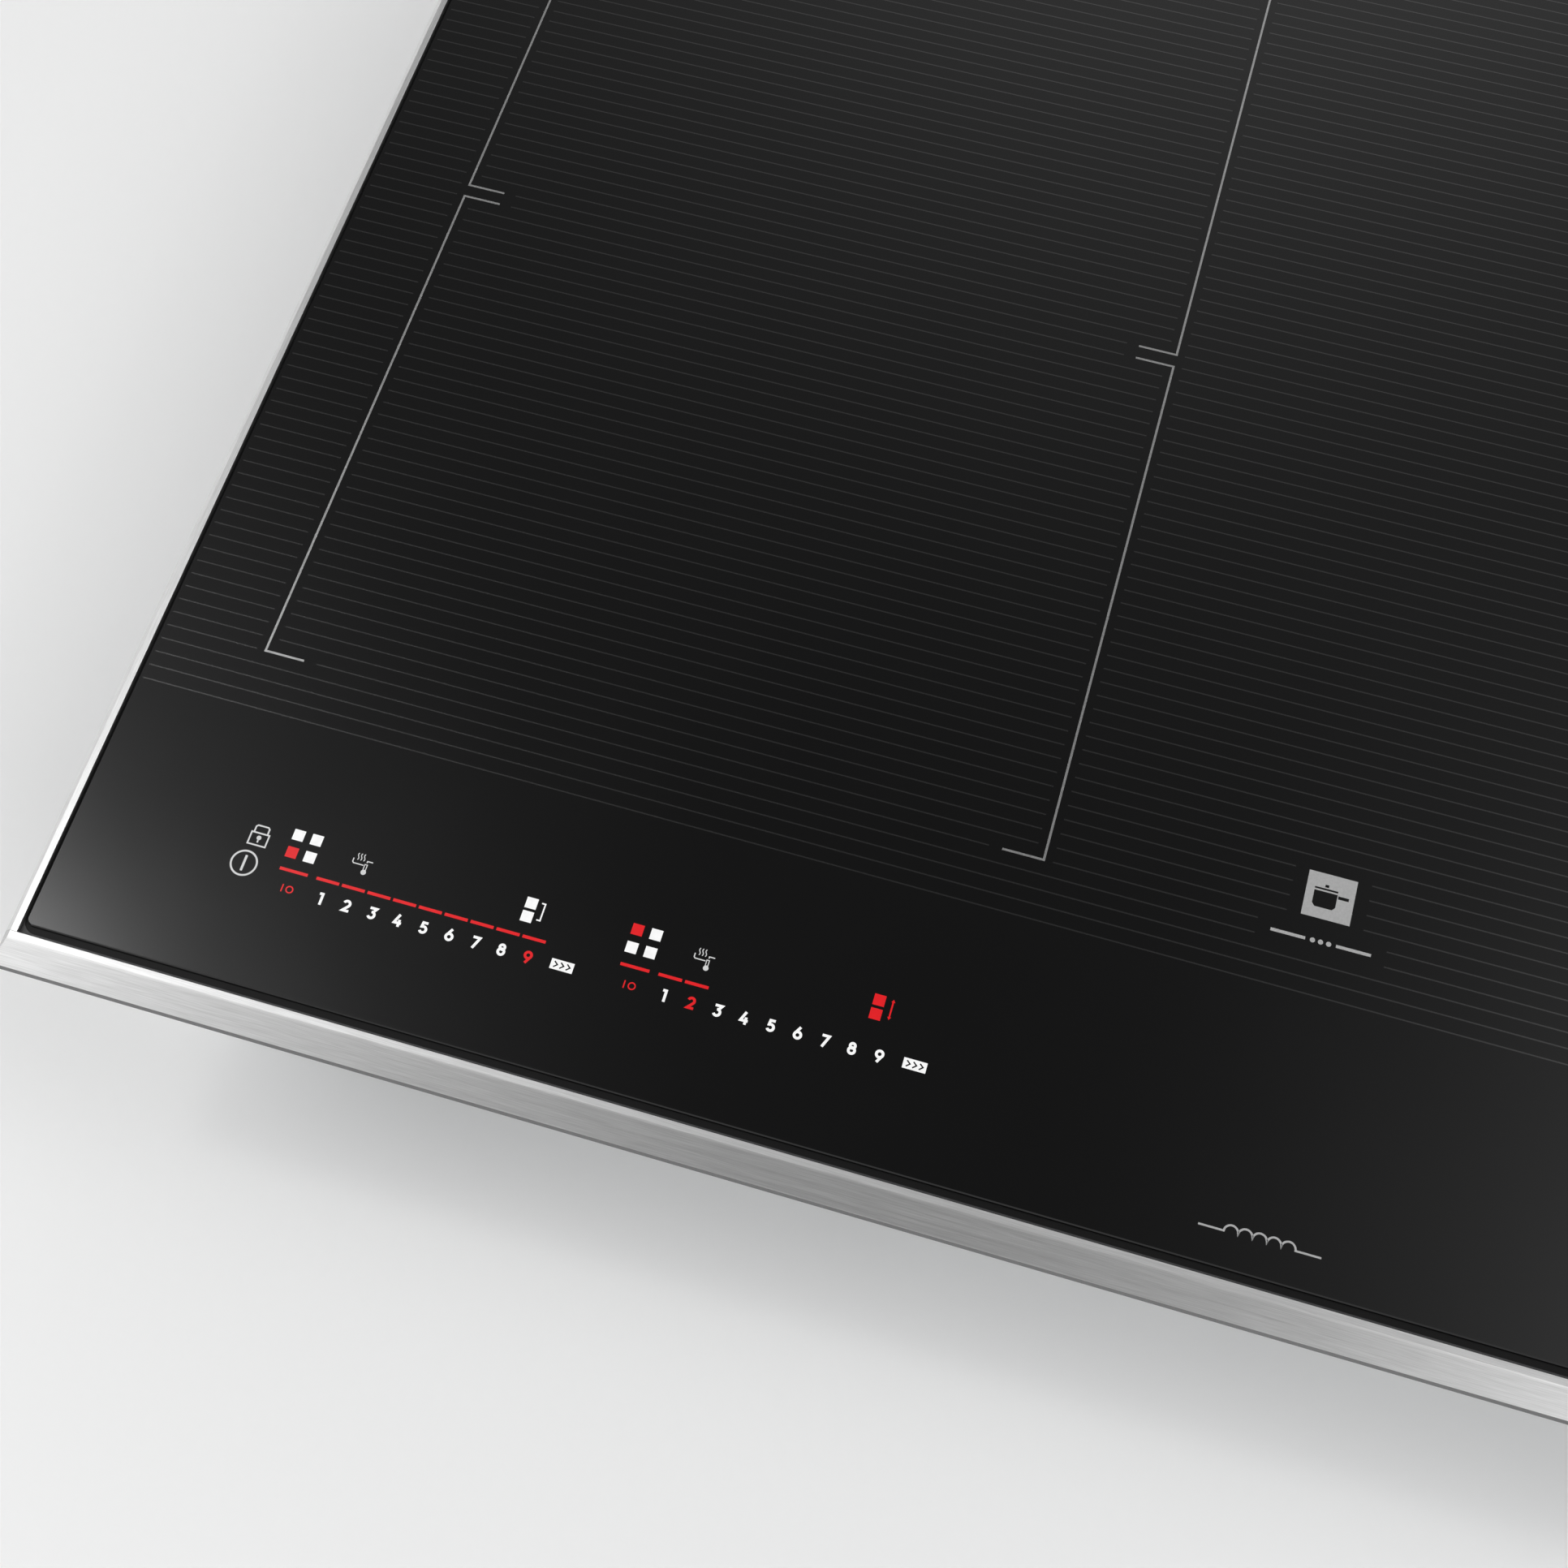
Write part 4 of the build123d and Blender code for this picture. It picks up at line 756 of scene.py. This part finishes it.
def digit_glyphs():
    """Bold numerals one unit high, each drawn with open or closed strokes."""
    top, foot = 0.395, -0.395
    bowl = arc((-0.02, -0.155), 0.245, 100, -155)
    drawn = {
        "1": [([(-0.2, top), (0.06, top), (0.06, -0.5)], False)],
        "2": [(arc((0, 0.165), 0.235, 165, -38) + [(-0.19, foot), (0.3, foot)], False)],
        "3": [([(-0.26, top), (0.27, top), (0.02, 0.02)], False), (bowl, False)],
        "4": [([(0.06, 0.5), (-0.24, -0.2), (0.32, -0.2)], False), ([(0.14, 0.08), (0.14, -0.5)], False)],
        "5": [([(0.25, top), (-0.13, top), (-0.17, 0.06)] + arc((-0.02, -0.155), 0.245, 118, -155), False)],
        "6": [(ring((0, -0.15), 0.25), True), ([(-0.2, -0.02), (0.1, 0.5)], False)],
        "7": [([(-0.29, top), (0.25, top), (-0.13, -0.5)], False)],
        "8": [(ring((0, 0.205), 0.19), True), (ring((0, -0.165), 0.235), True)],
        "9": [(ring((0, 0.15), 0.25), True), ([(0.2, 0.02), (-0.1, -0.5)], False)],
    }
    glyphs = {}
    for digit, strokes in drawn.items():
        parts = [Print(glyph=True).stroke(points, DIGIT_STROKE, closed) for points, closed in strokes]
        glyphs[digit] = combined(parts, "UNION")
    return glyphs


def boost_glyph():
    """A filled box with three chevrons cut out of it."""
    width, height = BOOST_BOX
    across, up = CHEVRON_HALF
    box = Print(glyph=True).fill(rectangle((-width / 2, -height / 2), (width / 2, height / 2)))
    cuts = []
    for middle in CHEVRONS:
        tip = [(middle - across, -up), (middle + across, 0.0), (middle - across, up)]
        cuts.append(Print(glyph=True).stroke(tip, CHEVRON_WIDTH))
    return combined([box, *cuts], "DIFFERENCE")


def add_bar(lamps, start, length):
    lamps.fill(rectangle((start, BAR_V - BAR_WIDTH / 2), (start + length, BAR_V + BAR_WIDTH / 2)))


def add_zone_key(keys, lamps, own_square):
    """Four squares, of which the zone's own one is lit red."""
    for column in (0, 1):
        for row in (0, 1):
            u = ZONE_KEY_CORNER[0] + ZONE_KEY_PITCH * column
            v = ZONE_KEY_CORNER[1] + ZONE_KEY_PITCH * row
            target = lamps if (column, row) == own_square else keys
            target.fill(rectangle((u, v), (u + SQUARE, v + SQUARE)))


def add_bridge(bridge, joined):
    """Two squares beside an arrow if the zones of a side are joined, or a brace if they aren't."""
    for v in BRIDGE_ROWS:
        bridge.fill(rectangle((BRIDGE_U, v), (BRIDGE_U + SQUARE, v + BRIDGE_HEIGHT)))
    if not joined:
        bridge.stroke(BRIDGE_BRACE, BRACE_WIDTH)
        return
    half, length = ARROW_HEAD
    bridge.stroke([(ARROW_U, v) for v in ARROW_ENDS], ARROW_WIDTH)
    for v, way in zip(ARROW_ENDS, (1, -1)):
        bridge.fill([(ARROW_U + way * half, v), (ARROW_U, v + way * length), (ARROW_U - way * half, v)])


def print_scale(name, start, own_square, level, joined, glyphs, inks):
    """One zone's controls: its zone key, level bar with numbers, and helper keys."""
    white, grey, red = inks
    lamps = Print().at(start, 0)
    add_bar(lamps, 0, BAR_LENGTH)
    for step in range(level):
        add_bar(lamps, SEGMENT_START + step * SEGMENT_PITCH, SEGMENT_LENGTH)
    lamps.stroke(ON_MARK, MARK_WIDTH)
    lamps.stroke(ring(OFF_MARK, OFF_MARK_R, ROUND_POINTS), MARK_WIDTH, closed=True)
    keys = Print().at(start, 0)
    add_zone_key(keys, lamps, own_square)

    numbers = Print()
    for value in range(1, 10):
        u = start + SEGMENT_START + SEGMENT_LENGTH / 2 + (value - 1) * SEGMENT_PITCH
        target = lamps if value == level else numbers
        target.at(u, DIGIT_V, DIGIT_HEIGHT).join(glyphs[str(value)])
    numbers.finish(f"numbers_{name}", white, "key_white")
    keys.at(start + BOOST_PLACE[0], BOOST_PLACE[1]).join(glyphs["boost"])

    bridge = (lamps if joined else Print()).at(start, 0)
    add_bridge(bridge, joined)
    if not joined:
        bridge.finish(f"bridge_key_{name}", white, "key_white")
    keys.finish(f"zone_keys_{name}", white, "key_white")
    lamps.finish(f"level_lamps_{name}", red, "lamp_red")
    print_keep_warm(name, start, grey)


def print_keep_warm(name, start, grey):
    """A pan with steam over it and a thermometer in it."""
    line, thin = 0.07, 0.056
    wall_and_base = [(4.16, -7.88), (4.16, -8.12), (4.23, -8.2), (4.9, -8.2)]
    rim_and_handle = [(5.06, -8.0), (5.06, -7.89), (5.42, -7.89)]
    tube = [(4.97, -8.52), (4.97, -8.12), (5.13, -8.12), (5.13, -8.52)]
    bulb, bulb_r = (5.05, -8.64), 0.17
    steam_low, steam_high, sway = -7.94, -7.49, 0.045
    icon = Print().at(start, 0)
    icon.stroke(wall_and_base, line)
    icon.stroke(rim_and_handle, line)
    for u in (4.40, 4.60, 4.80):
        icon.stroke(wave_line(u, steam_low, steam_high, sway), thin)
    icon.stroke(tube, thin)
    icon.fill(ring(bulb, bulb_r, ROUND_POINTS))
    icon.finish(f"keep_warm_key_{name}", grey, "key_grey")


def print_round_key(name, side, hand, hand_width, grey):
    """A ring with a line inside it, below the square key of a side."""
    key = Print().at(side * (END_KEYS_U + ROUND_KEY_SHIFT), ROUND_KEY_V)
    key.stroke(ring((0, 0), ROUND_KEY_R, 64), ROUND_KEY_WIDTH, closed=True)
    key.stroke(hand, hand_width)
    key.finish(name, grey, "key_grey")


def print_lock_and_power(grey):
    """The keys at the left end."""
    body = rectangle((-0.58, -0.40), (0.58, 0.41))
    shackle = [(-0.44, 0.46), (-0.44, 0.8), (-0.34, 0.9), (0.34, 0.9), (0.44, 0.8), (0.44, 0.46)]
    keyhole, keyhole_r = (0, 0.1), 0.15
    keyhole_slot = rectangle((-0.05, -0.22), (0.05, -0.06))
    line = 0.1
    lock = Print().at(-END_KEYS_U, SQUARE_KEY_V)
    lock.stroke(body, line, closed=True)
    lock.stroke(shackle, line)
    lock.fill(ring(keyhole, keyhole_r, ROUND_POINTS))
    lock.fill(keyhole_slot)
    lock.finish("lock_key", grey, "key_grey")
    print_round_key("power_key", SIDES["left"], [(0, -0.53), (0, 0.53)], 0.15, grey)


def print_timer_and_pause(grey):
    """The keys at the right end."""
    apart, half, reach = 0.3, 0.11, 0.45
    pause = Print().at(END_KEYS_U, SQUARE_KEY_V)
    for way in (-1, 1):
        pause.fill(rectangle((way * apart - half, -reach), (way * apart + half, reach)))
    pause.finish("pause_key", grey, "key_grey")
    print_round_key("timer_key", SIDES["right"], [(0, 0.5), (0, 0), (0.38, -0.22)], 0.11, grey)


def print_controls():
    white = lit("key_white", (0.92, 0.92, 0.92))
    grey = lit("key_grey", (0.62, 0.62, 0.62))
    red = lit("lamp_red", (0.72, 0.006, 0.010))
    glyphs = {**digit_glyphs(), "boost": boost_glyph()}
    scales = (
        ("front_left", (0, 0), 9, False),
        ("rear_left", (0, 1), 2, True),
        ("rear_right", (1, 1), 2, True),
        ("front_right", (1, 0), 9, False),
    )
    for start, (name, own_square, level, joined) in zip(SCALE_STARTS, scales):
        print_scale(name, start, own_square, level, joined, glyphs, (white, grey, red))
    print_lock_and_power(grey)
    print_timer_and_pause(grey)


# ---------------------------------------------------------------- floor, light and camera


def make_floor():
    bpy.ops.mesh.primitive_plane_add(size=FLOOR_SIZE, location=(0, 0, cad_low.z))
    floor = bpy.context.object
    floor.name = "floor"
    look = Look("floor_white", (0.94, 0.94, 0.94), 0.8)
    look.blend(look.noise((3, 3, 3)), (0.93, 0.93, 0.93), (0.95, 0.95, 0.95))
    floor.data.materials.append(look.material)


def softbox(name, low, high, height, radiance):
    """A level softbox that shines down, given by the corners of its plan and its radiance."""
    light = bpy.data.lights.new(name, "AREA")
    light.shape = "RECTANGLE"
    light.size = high[0] - low[0]
    light.size_y = high[1] - low[1]
    light.energy = math.pi * light.size * light.size_y * radiance
    lamp = bpy.data.objects.new(name, light)
    bpy.context.scene.collection.objects.link(lamp)
    lamp.location = ((low[0] + high[0]) / 2, (low[1] + high[1]) / 2, height)
    lamp.visible_camera = False
    return lamp


def add_glow(world, direction, tightness, radiance):
    """Adds a soft round glow to the world, centred on a direction."""
    nodes, links = world.node_tree.nodes, world.node_tree.links
    background = nodes["Background"].inputs["Color"]
    coordinates = nodes.new("ShaderNodeTexCoord")
    facing = nodes.new("ShaderNodeVectorMath")
    facing.operation = "DOT_PRODUCT"
    facing.inputs[1].default_value = Vector(direction).normalized()
    links.new(coordinates.outputs["Generated"], facing.inputs[0])
    value = facing.outputs["Value"]
    for operation, number in (("MAXIMUM", 0.0), ("POWER", tightness), ("MULTIPLY", radiance)):
        step = nodes.new("ShaderNodeMath")
        step.operation = operation
        step.inputs[1].default_value = number
        links.new(value, step.inputs[0])
        value = step.outputs["Value"]
    total = nodes.new("ShaderNodeVectorMath")
    total.operation = "ADD"
    links.new(background.links[0].from_socket, total.inputs[0])
    links.new(value, total.inputs[1])
    links.new(total.outputs["Vector"], background)


def make_light():
    """A dim ceiling over a pale horizon, soft glows that the glass mirrors, and two softboxes."""
    for name, (low, high, height, radiance) in SOFTBOXES.items():
        softbox(name, low, high, height, radiance)
    world = bpy.data.worlds.new("studio")
    bpy.context.scene.world = world
    world.use_nodes = True
    nodes, links = world.node_tree.nodes, world.node_tree.links
    coordinates = nodes.new("ShaderNodeTexCoord")
    split = nodes.new("ShaderNodeSeparateXYZ")
    ramp = nodes.new("ShaderNodeValToRGB")
    links.new(coordinates.outputs["Generated"], split.inputs["Vector"])
    links.new(split.outputs["Z"], ramp.inputs["Fac"])
    links.new(ramp.outputs["Color"], nodes["Background"].inputs["Color"])
    horizon, overhead = ramp.color_ramp.elements
    horizon.position, overhead.position = 0.0, CEILING_START
    horizon.color = (HORIZON_LIGHT, HORIZON_LIGHT, HORIZON_LIGHT, 1)
    overhead.color = (CEILING_LIGHT, CEILING_LIGHT, CEILING_LIGHT, 1)
    for direction, tightness, radiance in GLOWS:
        add_glow(world, direction, tightness, radiance)


def make_camera():
    camera = bpy.data.cameras.new("camera")
    camera.lens = CAMERA_LENS
    camera.sensor_width = CAMERA_SENSOR
    eye = bpy.data.objects.new("camera", camera)
    bpy.context.scene.collection.objects.link(eye)
    forward = Vector(CAMERA_FORWARD).normalized()
    right = Vector(CAMERA_RIGHT).normalized()
    up = right.cross(forward)
    turn = Matrix((right, up, -forward)).transposed().to_4x4()
    eye.matrix_world = Matrix.Translation(CAMERA_PLACE) @ turn
    bpy.context.scene.camera = eye


make_camera()
dress_frame()
make_springs()
print_pattern(pattern_ink())
print_brackets(silver_ink())
emblem_ink = printed_ink("emblem_ink", (0.38, 0.38, 0.38), (0.44, 0.44, 0.44))
print_emblem(emblem_ink)
print_coil_symbol(emblem_ink)
print_controls()
make_floor()
make_light()
bpy.context.scene.view_settings.view_transform = "Standard"
